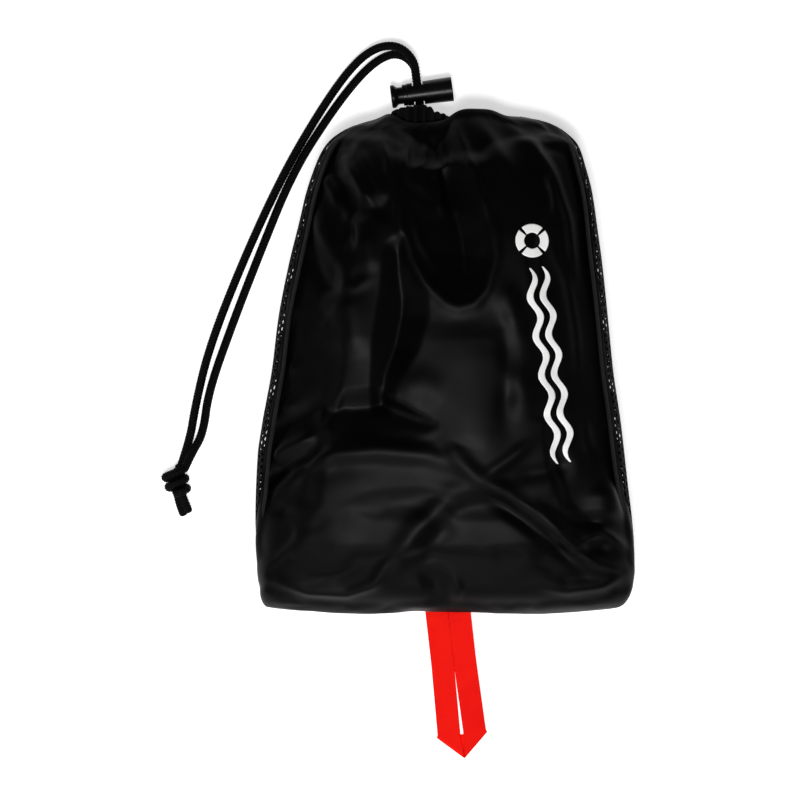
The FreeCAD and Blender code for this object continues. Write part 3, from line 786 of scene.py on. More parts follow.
def relax(piece, held, frames=16):
    """Let a cloth settle with its held points fixed, then cap how far it moved."""
    rest = np.empty(len(piece.data.vertices) * 3)
    piece.data.vertices.foreach_get("co", rest)
    rest = rest.reshape(-1, 3)
    group = piece.vertex_groups.new(name="held_by_seams")
    group.add([int(i) for i in held], 1.0, "REPLACE")
    cloth = piece.modifiers.new("cloth", "CLOTH")
    values = cloth.settings
    values.quality = 6
    values.mass = 0.15
    values.tension_stiffness = values.compression_stiffness = 18
    values.shear_stiffness = 6
    values.bending_stiffness = 0.25
    values.shrink_min = GROWTH
    values.use_pressure = True
    values.uniform_pressure_force = 0.6
    values.vertex_group_mass = group.name
    values.effector_weights.gravity = 0.0
    cloth.point_cache.frame_start, cloth.point_cache.frame_end = 1, frames
    scene = bpy.context.scene
    for number in range(1, frames + 1):
        scene.frame_set(number)
    graph = bpy.context.evaluated_depsgraph_get()
    moved = np.empty(len(rest) * 3)
    piece.evaluated_get(graph).data.vertices.foreach_get("co", moved)
    step = moved.reshape(-1, 3) - rest
    size = np.linalg.norm(step, axis=1, keepdims=True)
    step *= np.minimum(1, CAP / np.maximum(size, 1e-9))
    step = softened(step.reshape(FRONT_ROWS, FRONT_COLUMNS, 3), 3).reshape(-1, 3)
    piece.modifiers.remove(cloth)
    scene.frame_set(1)
    piece.data.vertices.foreach_set("co", (rest + step).ravel())
    piece.data.update()
    print(piece.name, "relaxed, mean move", round(float(size.mean() / MM), 2), "mm")


def front_panel():
    points, cloth = front_grid(FRONT_ROWS, FRONT_COLUMNS)
    piece = make_piece(
        "nylon_front", points.reshape(-1, 3) * MM, grid_faces(FRONT_ROWS, FRONT_COLUMNS),
        NYLON, None, cloth.reshape(-1, 2) * MM,
    )
    index = np.arange(FRONT_ROWS * FRONT_COLUMNS).reshape(FRONT_ROWS, FRONT_COLUMNS)
    edges = (index[:2], index[-2:], index[:, :2], index[:, -2:])
    relax(piece, np.unique(np.concatenate([edge.ravel() for edge in edges])))
    spots = np.empty(len(piece.data.vertices) * 3)
    piece.data.vertices.foreach_get("co", spots)
    share = np.linspace(-1, 1, FRONT_COLUMNS)[None, :].repeat(FRONT_ROWS, 0)
    folded = shape_mouth(press_folds(spots.reshape(FRONT_ROWS, FRONT_COLUMNS, 3) / MM, share))
    above = np.maximum(folded[..., 2] - CROWN, 0)
    folded[..., 2] += SOFT_TOP * np.tanh(above / SOFT_TOP) - above
    piece.data.vertices.foreach_set("co", folded.ravel() * MM)
    piece.data.update()
    finer = piece.modifiers.new("finer", "SUBSURF")
    finer.levels = finer.render_levels = 1
    thicken(piece, NYLON_THICK)
    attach(piece, "bag")
    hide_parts("front_panel")
    widths = cloth[:, -1, 0] - cloth[:, 0, 0]
    print(
        "front cut", widths.max(), "by", cloth[-1, 0, 1], "mm, area",
        float(widths.mean() * cloth[-1, 0, 1]), "mm2"
    )
    return piece


FRONT = front_panel()

# %% [markdown]
# ## Net back
# The back is knitted net, one open hexagon beside another. It is real geometry, a
# honeycomb of yarn with a hole in each cell, laid over the underside of the form
# and up both sides to the seam, where it shows as a narrow strip from above.

# %% The underside of the form as a table
NET_ROWS, NET_COLUMNS = 150, 161


def net_table():
    """Points across the underside at many places along the bag, and half lengths."""
    ys = np.linspace(BASE_SEAM_Y, MOUTH_Y, NET_ROWS)
    table = np.zeros((NET_ROWS, NET_COLUMNS, 3))
    halves = np.zeros(NET_ROWS)
    for i, y in enumerate(ys):
        middle, half = middle_and_half(y)
        waist, low = float(widest_height(y)), float(underside_height(y))
        crown = max(float(spine_crown(y)), waist + 0.01)
        angle = float(seam_point(y, 1)[2])
        fine = np.linspace(math.pi - angle, 2 * math.pi + angle, 500)
        reach, lift = rounded(fine)
        x = middle + half * reach
        z = np.where(lift > 0, waist + (crown - waist) * lift, waist + (waist - low + 2.0) * lift)
        z = np.maximum(z, low)
        run = run_flat(x, z)
        spots = np.linspace(0, run[-1], NET_COLUMNS)
        table[i, :, 0] = np.interp(spots, run, x)
        table[i, :, 1] = y
        table[i, :, 2] = np.interp(spots, run, z)
        halves[i] = 0.5 * run[-1]
    return ys, table, halves


NET_YS, NET_TABLE, NET_HALVES = net_table()


def on_net(across, along):
    """Points on the underside for flat cloth places, clamped to the seam."""
    row = np.clip(
        (along - NET_YS[0]) / (NET_YS[-1] - NET_YS[0]) * (NET_ROWS - 1), 0, NET_ROWS - 1.001
    )
    half = np.interp(along, NET_YS, NET_HALVES)
    share = np.clip(across / half, -1, 1)
    column = np.clip((share + 1) / 2 * (NET_COLUMNS - 1), 0, NET_COLUMNS - 1.001)
    i, j = row.astype(int), column.astype(int)
    u, v = (row - i)[:, None], (column - j)[:, None]
    a, b = NET_TABLE[i, j], NET_TABLE[i, j + 1]
    c, d = NET_TABLE[i + 1, j], NET_TABLE[i + 1, j + 1]
    return (1 - u) * ((1 - v) * a + v * b) + u * ((1 - v) * c + v * d)


# %% The honeycomb
CELL_ALONG, CELL_ACROSS = 3.1, 3.3
HOLE_SHARE = 0.56
YARN_THICK = 0.4 * MM


def net_back():
    corners = [(math.sin(math.radians(60 * k)), math.cos(math.radians(60 * k))) for k in range(6)]
    outer_a = CELL_ACROSS * 2 / 3
    outer_b = CELL_ALONG / math.sqrt(3)
    places, faces = {}, []
    spots = []

    def point(a, b):
        key = (round(a, 2), round(b, 2))
        if key not in places:
            places[key] = len(spots)
            spots.append((a, b))
        return places[key]

    columns = int(max(NET_HALVES) / CELL_ACROSS) + 1
    for i in range(-columns, columns + 1):
        shift = 0.5 * CELL_ALONG * (i % 2)
        rows = int((MOUTH_Y - BASE_SEAM_Y) / CELL_ALONG) + 1
        for j in range(rows + 1):
            a, b = i * CELL_ACROSS, BASE_SEAM_Y + j * CELL_ALONG + shift
            if b > MOUTH_Y or abs(a) > np.interp(b, NET_YS, NET_HALVES) + 0.2 * CELL_ACROSS:
                continue
            ring, hole = (
                [point(a + share * outer_a * dx, b + share * outer_b * dy) for dy, dx in corners]
                for share in (1.0, HOLE_SHARE)
            )
            for k in range(6):
                m = (k + 1) % 6
                faces.append((ring[k], ring[m], hole[m], hole[k]))
    flat = np.array(spots)
    points = on_net(flat[:, 0], np.clip(flat[:, 1], BASE_SEAM_Y, MOUTH_Y))
    piece = make_piece("net_back", points * MM, faces, NET_YARN, "bag", flat * MM)
    thicken(piece, YARN_THICK, offset=0.0)
    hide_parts("mesh_back_panel")
    return piece


NET = net_back()

# %% [markdown]
# ## Binding tape inside the seams
# The raw edges of both cloths are bound with narrow tape, sewn inside. It shows
# only as a dark band behind the net, and two rows of thread hold it.

# %% Seam line and tape
TAPE_WIDE, TAPE_THICK, TAPE_INSET = 8.0, 0.6 * MM, 1.6


def seam_run(side, start_y, end_y, count):
    """Points along one side seam, set in from the cloth."""
    ys = np.linspace(start_y, end_y, count)
    return np.array(
        [(float(seam_point(y, side)[0]) - side * TAPE_INSET, y, float(seam_height(y))) for y in ys]
    )


def tape_strip(name, line, node):
    """A flat strip, standing on edge along a line, eight millimetres wide."""
    across = 9
    rises = np.linspace(-0.5, 0.5, across) * TAPE_WIDE
    inward = np.gradient(line, axis=0)
    inward = np.stack([-inward[:, 1], inward[:, 0]], axis=1)
    inward /= np.linalg.norm(inward, axis=1, keepdims=True)
    inward *= -np.sign(np.sum(inward * line[:, :2], axis=1, keepdims=True) + 1e-6)
    points = []
    for spot, way in zip(line, inward):
        for rise in rises:
            bow = 1.5 * (2 * rise / TAPE_WIDE) ** 2
            points.append(
                (spot[0] + way[0] * bow, spot[1] + way[1] * bow, max(spot[2] + rise, 1.2))
            )
    piece = make_piece(
        name, np.array(points) * MM, grid_faces(len(line), across), TAPE, "bag"
    )
    thicken(piece, TAPE_THICK, offset=0.0)
    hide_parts(node)
    return piece


tape_strip("left_seam_tape", seam_run(-1, -84, 100, 90), "side_seam_tape_left")
tape_strip("right_seam_tape", seam_run(1, -84, 100, 90), "side_seam_tape_right")
base_xs = np.linspace(-66, 64, 60)
round_left = seam_run(-1, -84, -110.5, 24)
round_right = seam_run(1, -84, -110.5, 24)[::-1]
base_line = np.array([(x, BASE_SEAM_Y + 2.4, 6.4) for x in base_xs])
tape_strip(
    "base_seam_tape_strip", np.concatenate([round_left, base_line, round_right]), "base_seam_tape"
)

# %% [markdown]
# ## Gathered hem
# The drawcord runs in a folded hem of net cloth. Pulled tight, the hem bunches into
# a ring of uneven pleats that nearly closes. The ring is one surface: it comes up
# out of the bag, rolls over at the rim and sinks into the puckered middle.

# %% The ring of pleats
HEM_LOW, HEM_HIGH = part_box("drawcord_casing")
HEM_CENTRE = 0.5 * (HEM_LOW + HEM_HIGH) / MM
HEM_HALF = 0.5 * (HEM_HIGH - HEM_LOW) / MM
HEM_PLEATS = 21
HEM_AROUND, HEM_ALONG = 420, 30
hem_rim = line_through(
    (-24, -18.8, -8.2, -5.8, -2.8, 0, 3), (112.4, 113.8, 114.7, 113.2, 111.4, 110.8, 109.4)
)
hem_reach = line_through(
    (0, 0.3, 0.5, 0.6, 0.7, 0.85, 1.0), (1.0, 1.03, 1.0, 0.92, 0.72, 0.4, 0.10)
)
hem_depth = line_through((0, 0.5, 0.6, 0.7, 1.0), (-12.0, -0.9, 0.0, -0.9, -5.5))


def gathered_hem():
    points = []
    turns = np.linspace(0, 2 * math.pi, HEM_AROUND, endpoint=False)
    wander = 0.9 * np.sin(2 * turns + 0.7) + 0.6 * np.sin(3 * turns + 2.1)
    pleat = 0.5 + 0.5 * np.cos(HEM_PLEATS * turns + wander)
    fine = 0.5 + 0.5 * np.cos(41 * turns + 2.0 * wander)
    for share in np.linspace(0, 1, HEM_ALONG):
        reach, deep = float(hem_reach(share)), float(hem_depth(share))
        crimp = 0.05 + 0.20 * math.sin(math.pi * min(share + 0.12, 1.0)) ** 2
        scale = reach * (1 - crimp * (1 - pleat)) * (1 - 0.055 * fine)
        x = HEM_CENTRE.x + HEM_HALF.x * scale * np.cos(turns)
        z = HEM_CENTRE.z + HEM_HALF.z * scale * np.sin(turns)
        rim = hem_rim(HEM_CENTRE.x + HEM_HALF.x * np.cos(turns))
        y = rim + deep + (
            0.45 * fine + 0.7 * pleat - 0.6
        ) * math.exp(-(((share - 0.55) / 0.2) ** 2))
        points.append(np.stack([x, y, z], axis=1))
    points = np.concatenate(points)
    piece = make_piece(
        "gathered_hem", points * MM, grid_faces(
            HEM_ALONG, HEM_AROUND, around=True
        ), NET_YARN, "bag"
    )
    thicken(piece, 0.5 * MM)
    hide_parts("drawcord_casing")
    return piece


HEM = gathered_hem()
print(
    "net cut", 2 * NET_HALVES.max(), "by", MOUTH_Y - BASE_SEAM_Y, "mm, area",
    float(2 * NET_HALVES.mean() * (MOUTH_Y - BASE_SEAM_Y)), "mm2"
)

# %% [markdown]
# ## Braided cord
# The drawcord is a twelve-strand braid. Its centre line is a NURBS curve through
# the same points as the CAD route, and the braid is a tube round that line whose
# radius rises and falls in diamonds, one for each place where a strand comes over.

# %% Reading a smooth route
def run_along(route):
    """The length along a route, up to each of its points."""
    return np.concatenate([[0], np.cumsum(np.linalg.norm(np.diff(route, axis=0), axis=1))])


def read_route(spots, step):
    """Evenly spaced points along a NURBS curve that has these control points."""
    data = bpy.data.curves.new("route", "CURVE")
    data.dimensions = "3D"
    data.resolution_u = 24
    line = data.splines.new("NURBS")
    line.points.add(len(spots) - 1)
    for point, spot in zip(line.points, spots):
        point.co = (*[value * MM for value in spot], 1.0)
    line.order_u = 3
    line.use_endpoint_u = True
    holder = bpy.data.objects.new("route", data)
    drawn = bpy.data.meshes.new_from_object(holder)
    route = np.array([vertex.co for vertex in drawn.vertices])
    bpy.data.objects.remove(holder)
    bpy.data.meshes.remove(drawn)
    run = run_along(route)
    even = np.linspace(0, run[-1], max(4, int(run[-1] / step)))
    return np.stack([np.interp(even, run, route[:, k]) for k in range(3)], axis=1), run[-1]


def carried_frames(route):
    """Two directions across the route at each point, with no twist between points."""
    ways = np.gradient(route, axis=0)
    ways /= np.linalg.norm(ways, axis=1, keepdims=True)
    side = np.cross(ways[0], (0.0, 0.0, 1.0))
    if np.linalg.norm(side) < 1e-3:
        side = np.array((1.0, 0.0, 0.0))
    sides = []
    for way in ways:
        side = side - way * np.dot(side, way)
        side = side / np.linalg.norm(side)
        sides.append(side)
    sides = np.array(sides)
    return sides, np.cross(ways, sides)


# %% A braided tube
def braided_tube(name, route, radius, plaits, diamond, around, lift, material, body):
    """A round braid along a route; diamond is half the length of one crossing."""
    sides, ups = carried_frames(route)
    run = run_along(route)
    turn = np.linspace(0, 1, around, endpoint=False)
    one = turn[None, :] * plaits + run[:, None] / diamond
    other = turn[None, :] * plaits - run[:, None] / diamond
    over = (np.floor(one) + np.floor(other)) % 2 < 0.5
    f, g = np.sin(math.pi * (one % 1)), np.sin(math.pi * (other % 1))
    raised = np.where(over, g**0.7 * (0.55 + 0.45 * f), f**0.7 * (0.55 + 0.45 * g))
    reach = radius - 0.60 * lift + lift * raised
    to_end = np.clip(np.minimum(run, run[-1] - run) / (0.9 * radius), 0, 1)
    reach *= (0.45 + 0.55 * np.sqrt(1 - (1 - to_end) ** 2))[:, None]
    angle = 2 * math.pi * turn[None, :, None]
    rings = route[:, None, :] + reach[:, :, None] * (
        np.cos(angle) * sides[:, None, :] + np.sin(angle) * ups[:, None, :]
    )
    rows = len(route)
    points = np.concatenate([rings.reshape(-1, 3), route[:1], route[-1:]])
    faces = grid_faces(rows, around, around=True)
    first, last = rows * around, rows * around + 1
    for k in range(around):
        m = (k + 1) % around
        faces.append((k, first, m))
        faces.append(((rows - 1) * around + m, last, (rows - 1) * around + k))
    return make_piece(name, points, faces, material, body)


# %% The drawcord's routes, in millimetres, as in the CAD model
LOCK_ANGLE = math.radians(7.5)
LOCK_ALONG = np.array((math.cos(LOCK_ANGLE), math.sin(LOCK_ANGLE), 0.0))
LOCK_ACROSS = np.array((-math.sin(LOCK_ANGLE), math.cos(LOCK_ANGLE), 0.0))
CORD_WIDE = 3.6
CASING_EXIT = np.array((-11.0522, 114.3966, 6.1))
UP = np.array((0, 0, 1.0))
UPPER = np.array((0.0, 0.0, 1.85))
HEM_DEPTH = 8.8
FLOOR_Z = 1.9


def straight_run(start, *steps):
    """Control points straight out of the hem, so that the lock slides on a straight cord."""
    return tuple(start + step * LOCK_ACROSS for step in (0.0, *steps))


OUTER_ROUTE = (
    *straight_run(CASING_EXIT + UPPER, 7.0, 14.0, 21.8),
    (-20.7, 142.7, 7.0), (-30.6, 142.4, 4.6), (-41.4, 134.5, 2.6), (-55.4, 115.2, FLOOR_Z),
    (-73.4, 84.6, FLOOR_Z), (-92.0, 44.1, FLOOR_Z), (-107.1, 5.4, FLOOR_Z), (
        -113.4, -21.6, FLOOR_Z
    ),
    (-115.6, -36.0, FLOOR_Z), (-120.2, -49.5, 2.2),
)
INNER_ROUTE = (
    *straight_run(CASING_EXIT - UPPER, 7.0, 13.7, 19.6),
    (-18.7, 138.6, 3.4), (-25.9, 139.1, 2.4), (-36.4, 131.8, FLOOR_Z), (-50.8, 113.8, FLOOR_Z),
    (-69.0, 85.5, FLOOR_Z), (-85.0, 45.9, FLOOR_Z), (-96.8, 15.3, FLOOR_Z), (
        -107.3, -14.4, FLOOR_Z
    ),
    (-109.6, -33.4, 2.4), (-115.2, -42.8, 5.2), (-118.4, -50.2, 6.0),
)
HEM_Y = float((CASING_EXIT - HEM_DEPTH * LOCK_ACROSS)[1])
HEM_ROUTE = (
    CASING_EXIT + UPPER, CASING_EXIT + UPPER - HEM_DEPTH * LOCK_ACROSS,
    (-19.0, HEM_Y - 1.2, 8.45), (-20.4, HEM_Y, 14.9), (-14.6, HEM_Y, 17.9), (-5.6, HEM_Y, 17.8),
    (-0.4, HEM_Y, 13.0), (-1.4, HEM_Y, 5.6),
    CASING_EXIT - UPPER - HEM_DEPTH * LOCK_ACROSS, CASING_EXIT - UPPER,
)
CORD_STEP = 0.28 * MM
CORD_AROUND, CORD_PLAITS, CORD_DIAMOND, CORD_LIFT = 48, 6, 1.45 * MM, 0.70 * MM


def drawcord_piece(name, route):
    return braided_tube(
        name, route, 0.5 * CORD_WIDE * MM, CORD_PLAITS, CORD_DIAMOND, CORD_AROUND, CORD_LIFT,
        DRAWCORD, "bag",
    )


outer_line, outer_length = read_route(OUTER_ROUTE, CORD_STEP)
inner_line, inner_length = read_route(INNER_ROUTE, CORD_STEP)
hem_line, hem_length = read_route(HEM_ROUTE, CORD_STEP)
OUTER_CORD = drawcord_piece("drawcord_outer", outer_line)
INNER_CORD = drawcord_piece("drawcord_inner", inner_line)
HEM_CORD = drawcord_piece("drawcord_in_hem", hem_line)
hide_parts("drawcord_outer_strand")
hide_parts("drawcord_inner_strand")
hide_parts("drawcord_hem_run")
print("drawcord", round(outer_length, 4), round(inner_length, 4), round(hem_length, 4), "m")

# %% [markdown]
# ## The knot
# Both strands are tied together in one overhand knot, pulled tight, with two short
# tails. A tight knot is mostly hidden turns, so one strand goes straight through as
# a core and the other wraps round it before both leave as tails.

# %% Overhand knot
KNOT_AT = np.array((-121.6, -55.2, 4.9))
KNOT_WAY = math.radians(12)
POINTS_PER_TURN = 8


def knot_spot(across, along, up):
    """A place in the knot's own frame; along points down to the tails."""
    c, s = math.cos(KNOT_WAY), math.sin(KNOT_WAY)
    return KNOT_AT + np.array((across * c + along * s, across * s - along * c, up))


def knot_strand(name, start, turns, tail):
    """One strand: straight in, round the core as many turns as asked, and out."""
    spots = [start, knot_spot(*turns[0])]
    spots += [knot_spot(*spot) for spot in turns[1:]]
    line, length = read_route([*spots, *tail], CORD_STEP)
    print(name, round(length / MM), "mm long")
    return drawcord_piece(name, line)


def wraps(turns, first_angle, near, far, wide, high):
    """Points of a squashed helix round the knot's core."""
    count = int(turns * POINTS_PER_TURN) + 1
    spots = []
    for k in range(count):
        share = k / (count - 1)
        angle = first_angle + 2 * math.pi * turns * share
        loose = 1.0 + 0.07 * math.sin(5.0 * share + 1.0)
        spots.append(
            (wide * loose * math.cos(angle), near + (far - near) * share, high * math.sin(angle))
        )
    return spots


KNOT_A = knot_strand(
    "knot_core", OUTER_ROUTE[-1], [(-0.6, -4.0, -0.2), (-1.2, 0.0, -0.6), (-0.8, 4.0, -0.8)],
    (
        np.array((-120.9, -62.4, 3.0)), np.array((-119.8, -66.6, 2.4)),
        np.array((-118.2, -70.6, 2.2))
    ),
)
KNOT_B = knot_strand(
    "knot_wrap", INNER_ROUTE[-1], [
        (1.0, -6.6, 1.2), *wraps(2.35, -0.2, -5.4, 5.2, 4.6, 3.4), (1.2, 3.2, -0.2)
    ],
    (
        np.array((-119.0, -61.6, 4.6)), np.array((-117.6, -64.8, 4.8)),
        np.array((-115.9, -69.2, 4.2))
    ),
)
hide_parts("drawcord_knot")

# %% [markdown]
# ## Cord lock
# A moulded barrel with a bore, a plunger that slides in it, and a coil spring
# between them that shortens as the plunger goes in. Barrel and plunger are turned
# shapes with softened edges and a slot through them for the two strands.

# %% Turned parts
LOCK_AT = np.array((-11.927, 121.039, 6.1))
LOCK_PASS = (2.4, 3.8)
TURN_STEPS = 96


def turned_part(name, profile, node, body, slot_from):
    """A closed profile (along, radius) turned about the lock's axis, then slotted."""
    points, faces = [], []
    count = len(profile)
    for along, radius in profile:
        for k in range(TURN_STEPS):
            turn = 2 * math.pi * k / TURN_STEPS
            points.append((along, radius * math.cos(turn), radius * math.sin(turn)))
    for i in range(count - 1):
        for k in range(TURN_STEPS):
            m = (k + 1) % TURN_STEPS
            faces.append(
                (
                    i * TURN_STEPS + k, i * TURN_STEPS + m, (i + 1) * TURN_STEPS + m,
                    (i + 1) * TURN_STEPS + k
                )
            )
    points = np.array(points)
    world = LOCK_AT + points[:, :1] * LOCK_ALONG + points[:, 1:2] * LOCK_ACROSS + points[:, 2:] * UP
    piece = make_piece(name, world * MM, faces, LOCK_PLASTIC, None, smooth=False)
    tidy = bmesh.new()
    tidy.from_mesh(piece.data)
    bmesh.ops.remove_doubles(tidy, verts=tidy.verts, dist=0.001 * MM)
    bmesh.ops.recalc_face_normals(tidy, faces=tidy.faces)
    tidy.to_mesh(piece.data)
    tidy.free()
    cutter = strand_pass(name, slot_from)
    cut = piece.modifiers.new("strand_pass", "BOOLEAN")
    cut.object = cutter
    cut.solver = "EXACT"
    graph = bpy.context.evaluated_depsgraph_get()
    made = bpy.data.meshes.new_from_object(piece.evaluated_get(graph))
    piece.modifiers.clear()
    piece.data = made
    bpy.data.objects.remove(cutter)
    made.shade_smooth()
    made.set_sharp_from_angle(angle=math.radians(32))
    soft = piece.modifiers.new("soft_edges", "BEVEL")
    soft.width, soft.segments, soft.angle_limit = 0.10 * MM, 2, math.radians(50)
    even = piece.modifiers.new("even_shading", "WEIGHTED_NORMAL")
    even.weight, even.keep_sharp = 60, True
    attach(piece, body)
    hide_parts(node)
    return piece


def strand_pass(name, near):
    """The block that cuts the strands' slot, from near to the pass's far side."""
    half_width, half_height = LOCK_PASS
    points = []
    for along in (near, half_width):
        for across in (-9.0, 9.0):
            for up in (-half_height, half_height):
                points.append(
                    LOCK_AT + along * LOCK_ALONG + across * LOCK_ACROSS + np.array((0, 0, up))
                )
    faces = [(0, 1, 3, 2), (4, 6, 7, 5), (0, 4, 5, 1), (2, 3, 7, 6), (0, 2, 6, 4), (1, 5, 7, 3)]
    return make_piece(
        name + "_cutter", np.array(points) * MM, faces, LOCK_PLASTIC, None,
        smooth=False
    )


BARREL_PROFILE = (
    (-7.1, 4.45), (-7.1, 4.75), (-6.95, 4.85), (-5.3, 4.85), (-5.1, 4.9), (-5.1, 5.0), (-4.95, 5.1),
    (0.0, 5.22), (8.0, 5.42), (15.2, 5.6), (15.5, 5.52), (15.6, 5.35), (15.6, 4.6), (15.45, 4.4),
    (15.45, 0.0), (14.2, 0.0), (14.2, 4.45), (-7.1, 4.45),
)
PLUNGER_PROFILE = (
    (-12.2, 0.0), (-12.25, 2.6), (-12.4, 4.2), (-12.5, 4.7), (-12.35, 5.1), (-11.9, 5.3),
    (-11.2, 5.3),
    (-10.6, 5.1), (-10.1, 4.6), (-9.7, 4.15), (-9.2, 3.9), (-6.5, 3.9), (-6.5, 4.3), (-6.4, 4.4),
    (7.1, 4.4), (7.2, 4.3), (7.2, 3.3), (4.2, 3.3), (4.2, 0.0),
)
turned_part("lock_barrel", BARREL_PROFILE, "cord_lock_barrel", "cord_lock", -LOCK_PASS[0])
turned_part(
    "lock_plunger", PLUNGER_PROFILE, "cord_lock_plunger", "lock_button", -LOCK_PASS[0] - 2.2
)

# %% Return spring
SPRING_FROM, SPRING_TO, SPRING_REACH, SPRING_TURNS = 4.62, 13.78, 2.7, 6


def lock_spring():
    """A coil from the plunger's seat to the barrel's end."""
    turns = np.linspace(0, 2 * math.pi * SPRING_TURNS, 24 * SPRING_TURNS + 1)[:, None]
    along = np.linspace(SPRING_FROM, SPRING_TO, len(turns))[:, None]
    line = LOCK_AT + along * LOCK_ALONG + SPRING_REACH * (
        np.cos(turns) * LOCK_ACROSS + np.sin(turns) * UP
    )
    piece = braided_tube(
        "return_spring", line * MM, 0.35 * MM, 1, 1.0, 12, 0.0, SPRING_WIRE, None
    )
    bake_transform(piece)
    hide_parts("cord_lock_spring")
    return piece


lock_spring()

# %% [markdown]
# ## Pull loop
# One length of flat webbing goes down, folds twice at forty-five degrees and comes
# back beside itself, which makes a flat pointed tab. The mesh does the same: a
# single strip is folded across two diagonal lines, so the layers are real.

# %% Fold the webbing
WEB_WIDE, WEB_LONG, WEB_THICK = 10.4, 65.0, 1.15
WEB_TURN = WEB_LONG - WEB_WIDE
WEB_SLIT, WEB_SLIT_LONG = 1.6, 33.0
WEB_INSIDE = 19.0
WEB_STEP = 0.40
WEB_AT = np.array((1.7, -115.6, 5.0))
WEB_YAW = math.radians(6.5)
FOLD_RADIUS = 0.62
DIAGONAL = math.sqrt(0.5)


def fold_over(spots, height, corner, beyond, active):
    """Turn what lies beyond a line back over it, rolling from layer to layer."""
    past = (spots - corner) @ beyond
    inside = np.abs(past) < FOLD_RADIUS
    rolled = np.where(
        inside, -FOLD_RADIUS + FOLD_RADIUS * np.cos(0.5 * math.pi * past / FOLD_RADIUS),
        -np.abs(past)
    )
    swing = np.sin(0.5 * math.pi * np.clip(past / FOLD_RADIUS, -1, 1))
    moved = spots + np.outer(rolled - past, beyond)
    active = active & (past > -FOLD_RADIUS)
    return np.where(active[:, None], moved, spots), np.where(active, -height * swing, height), past


def folded_webbing():
    columns = int(WEB_WIDE / WEB_STEP) + 1
    total = 2 * WEB_LONG + 2 * WEB_INSIDE
    rows = int(total / WEB_STEP) + 1
    across, along = np.meshgrid(
        np.linspace(0, WEB_WIDE, columns), np.linspace(-WEB_INSIDE, total - WEB_INSIDE, rows)
    )
    teeth = 0.13 * np.abs(((along / 1.3) % 1) * 2 - 1)
    across[:, 0] += teeth[:, 0]
    cloth = np.stack([across.ravel(), along.ravel()], axis=1)
    spots = np.stack([cloth[:, 0] - WEB_WIDE, -cloth[:, 1]], axis=1)
    layer = np.full(len(spots), FOLD_RADIUS)
    everywhere = np.ones(len(spots), bool)
    spots, layer, past = fold_over(
        spots, layer, np.array((-WEB_WIDE, -WEB_TURN)), np.array((-DIAGONAL, -DIAGONAL)), everywhere
    )
    beneath = past > 0
    spots, layer_two, past_two = fold_over(
        spots, -layer, np.array((0.0, -WEB_LONG)), np.array((DIAGONAL, -DIAGONAL)), beneath
    )
    layer = np.where(beneath & (past_two > -FOLD_RADIUS), -layer_two, layer)
    x, y = spots[:, 0], spots[:, 1]
    opening = np.clip((-y - (WEB_TURN - WEB_SLIT_LONG)) / WEB_SLIT_LONG, 0, 1) * 0.5 * WEB_SLIT
    closing = np.clip((WEB_LONG + y) / WEB_WIDE, 0, 1)
    leg = np.where(np.abs(x) > 1e-6, np.sign(x), np.where(cloth[:, 1] < WEB_LONG, -1.0, 1.0))
    top = x + leg * np.where(y > -WEB_TURN, opening - 0.08, 0.5 * WEB_SLIT * closing)
    low = x * (1 + 0.5 * WEB_SLIT / WEB_WIDE)
    x = np.where(layer > -0.5 * FOLD_RADIUS, top, low)
    drop = np.clip(-y / WEB_LONG, 0, 1)
    middle = WEB_AT[2] - (WEB_AT[2] - 1.35) * (1 - (1 - np.clip(drop * 1.25, 0, 1)) ** 2)
    sag = 0.25 * np.sin(x * 0.25) * drop
    lift = layer * np.clip((-y - 30) / 24, 0, 1)
    c, s = math.cos(WEB_YAW), math.sin(WEB_YAW)
    world = np.stack(
        [WEB_AT[0] + c * x - s * y, WEB_AT[1] + s * x + c * y, middle + lift + sag], axis=1
    )
    piece = make_piece(
        "webbing_strip", world * MM, grid_faces(rows, columns), RED_TAPE, None,
        cloth * MM
    )
    thicken(piece, WEB_THICK * MM, offset=0.0)
    even = piece.modifiers.new("even_shading", "WEIGHTED_NORMAL")
    even.weight = 90
    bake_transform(piece)
    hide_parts("pull_loop", "webbing_anchor_tab")
    return piece


folded_webbing()

# %% [markdown]
# ## Stitches
# Bar tacks hold the webbing in the base seam and stop the hem tearing beside the
# cord. Each stitch is a short rounded bar of thread, copied along a zigzag.

# %% Bar tacks
def stitch_bars(name, pairs, radius, material, node):
    """Short thread bars, each from one point to another, with rounded ends."""
    points, faces = [], []
    ring = 8
    for start, end in pairs:
        start, end = np.asarray(start, float), np.asarray(end, float)
        way = (end - start) / np.linalg.norm(end - start)
        side = np.cross(way, (0.0, 0.0, 1.0) if abs(way[2]) < 0.9 else (1.0, 0.0, 0.0))
        side /= np.linalg.norm(side)
        up = np.cross(way, side)
        base = len(points)
        for share, scale in (
            (0.0, 0.25), (0.06, 0.8), (0.2, 1.0), (0.8, 1.0), (0.94, 0.8), (1.0, 0.25)
        ):
            for k in range(ring):
                turn = 2 * math.pi * k / ring
                spot = start + (end - start) * share
                points.append(spot + radius * scale * (math.cos(turn) * side + math.sin(turn) * up))
        faces += [tuple(base + i for i in face) for face in grid_faces(6, ring, around=True)]
        faces.append(tuple(base + k for k in reversed(range(ring))))
        faces.append(tuple(base + 5 * ring + k for k in range(ring)))
    piece = make_piece(name, np.array(points) * MM, faces, material, "bag")
    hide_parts(node)
    return piece


def web_spot(x, y, z):
    c, s = math.cos(WEB_YAW), math.sin(WEB_YAW)
    return WEB_AT + np.array((c * x - s * y, s * x + c * y, z))


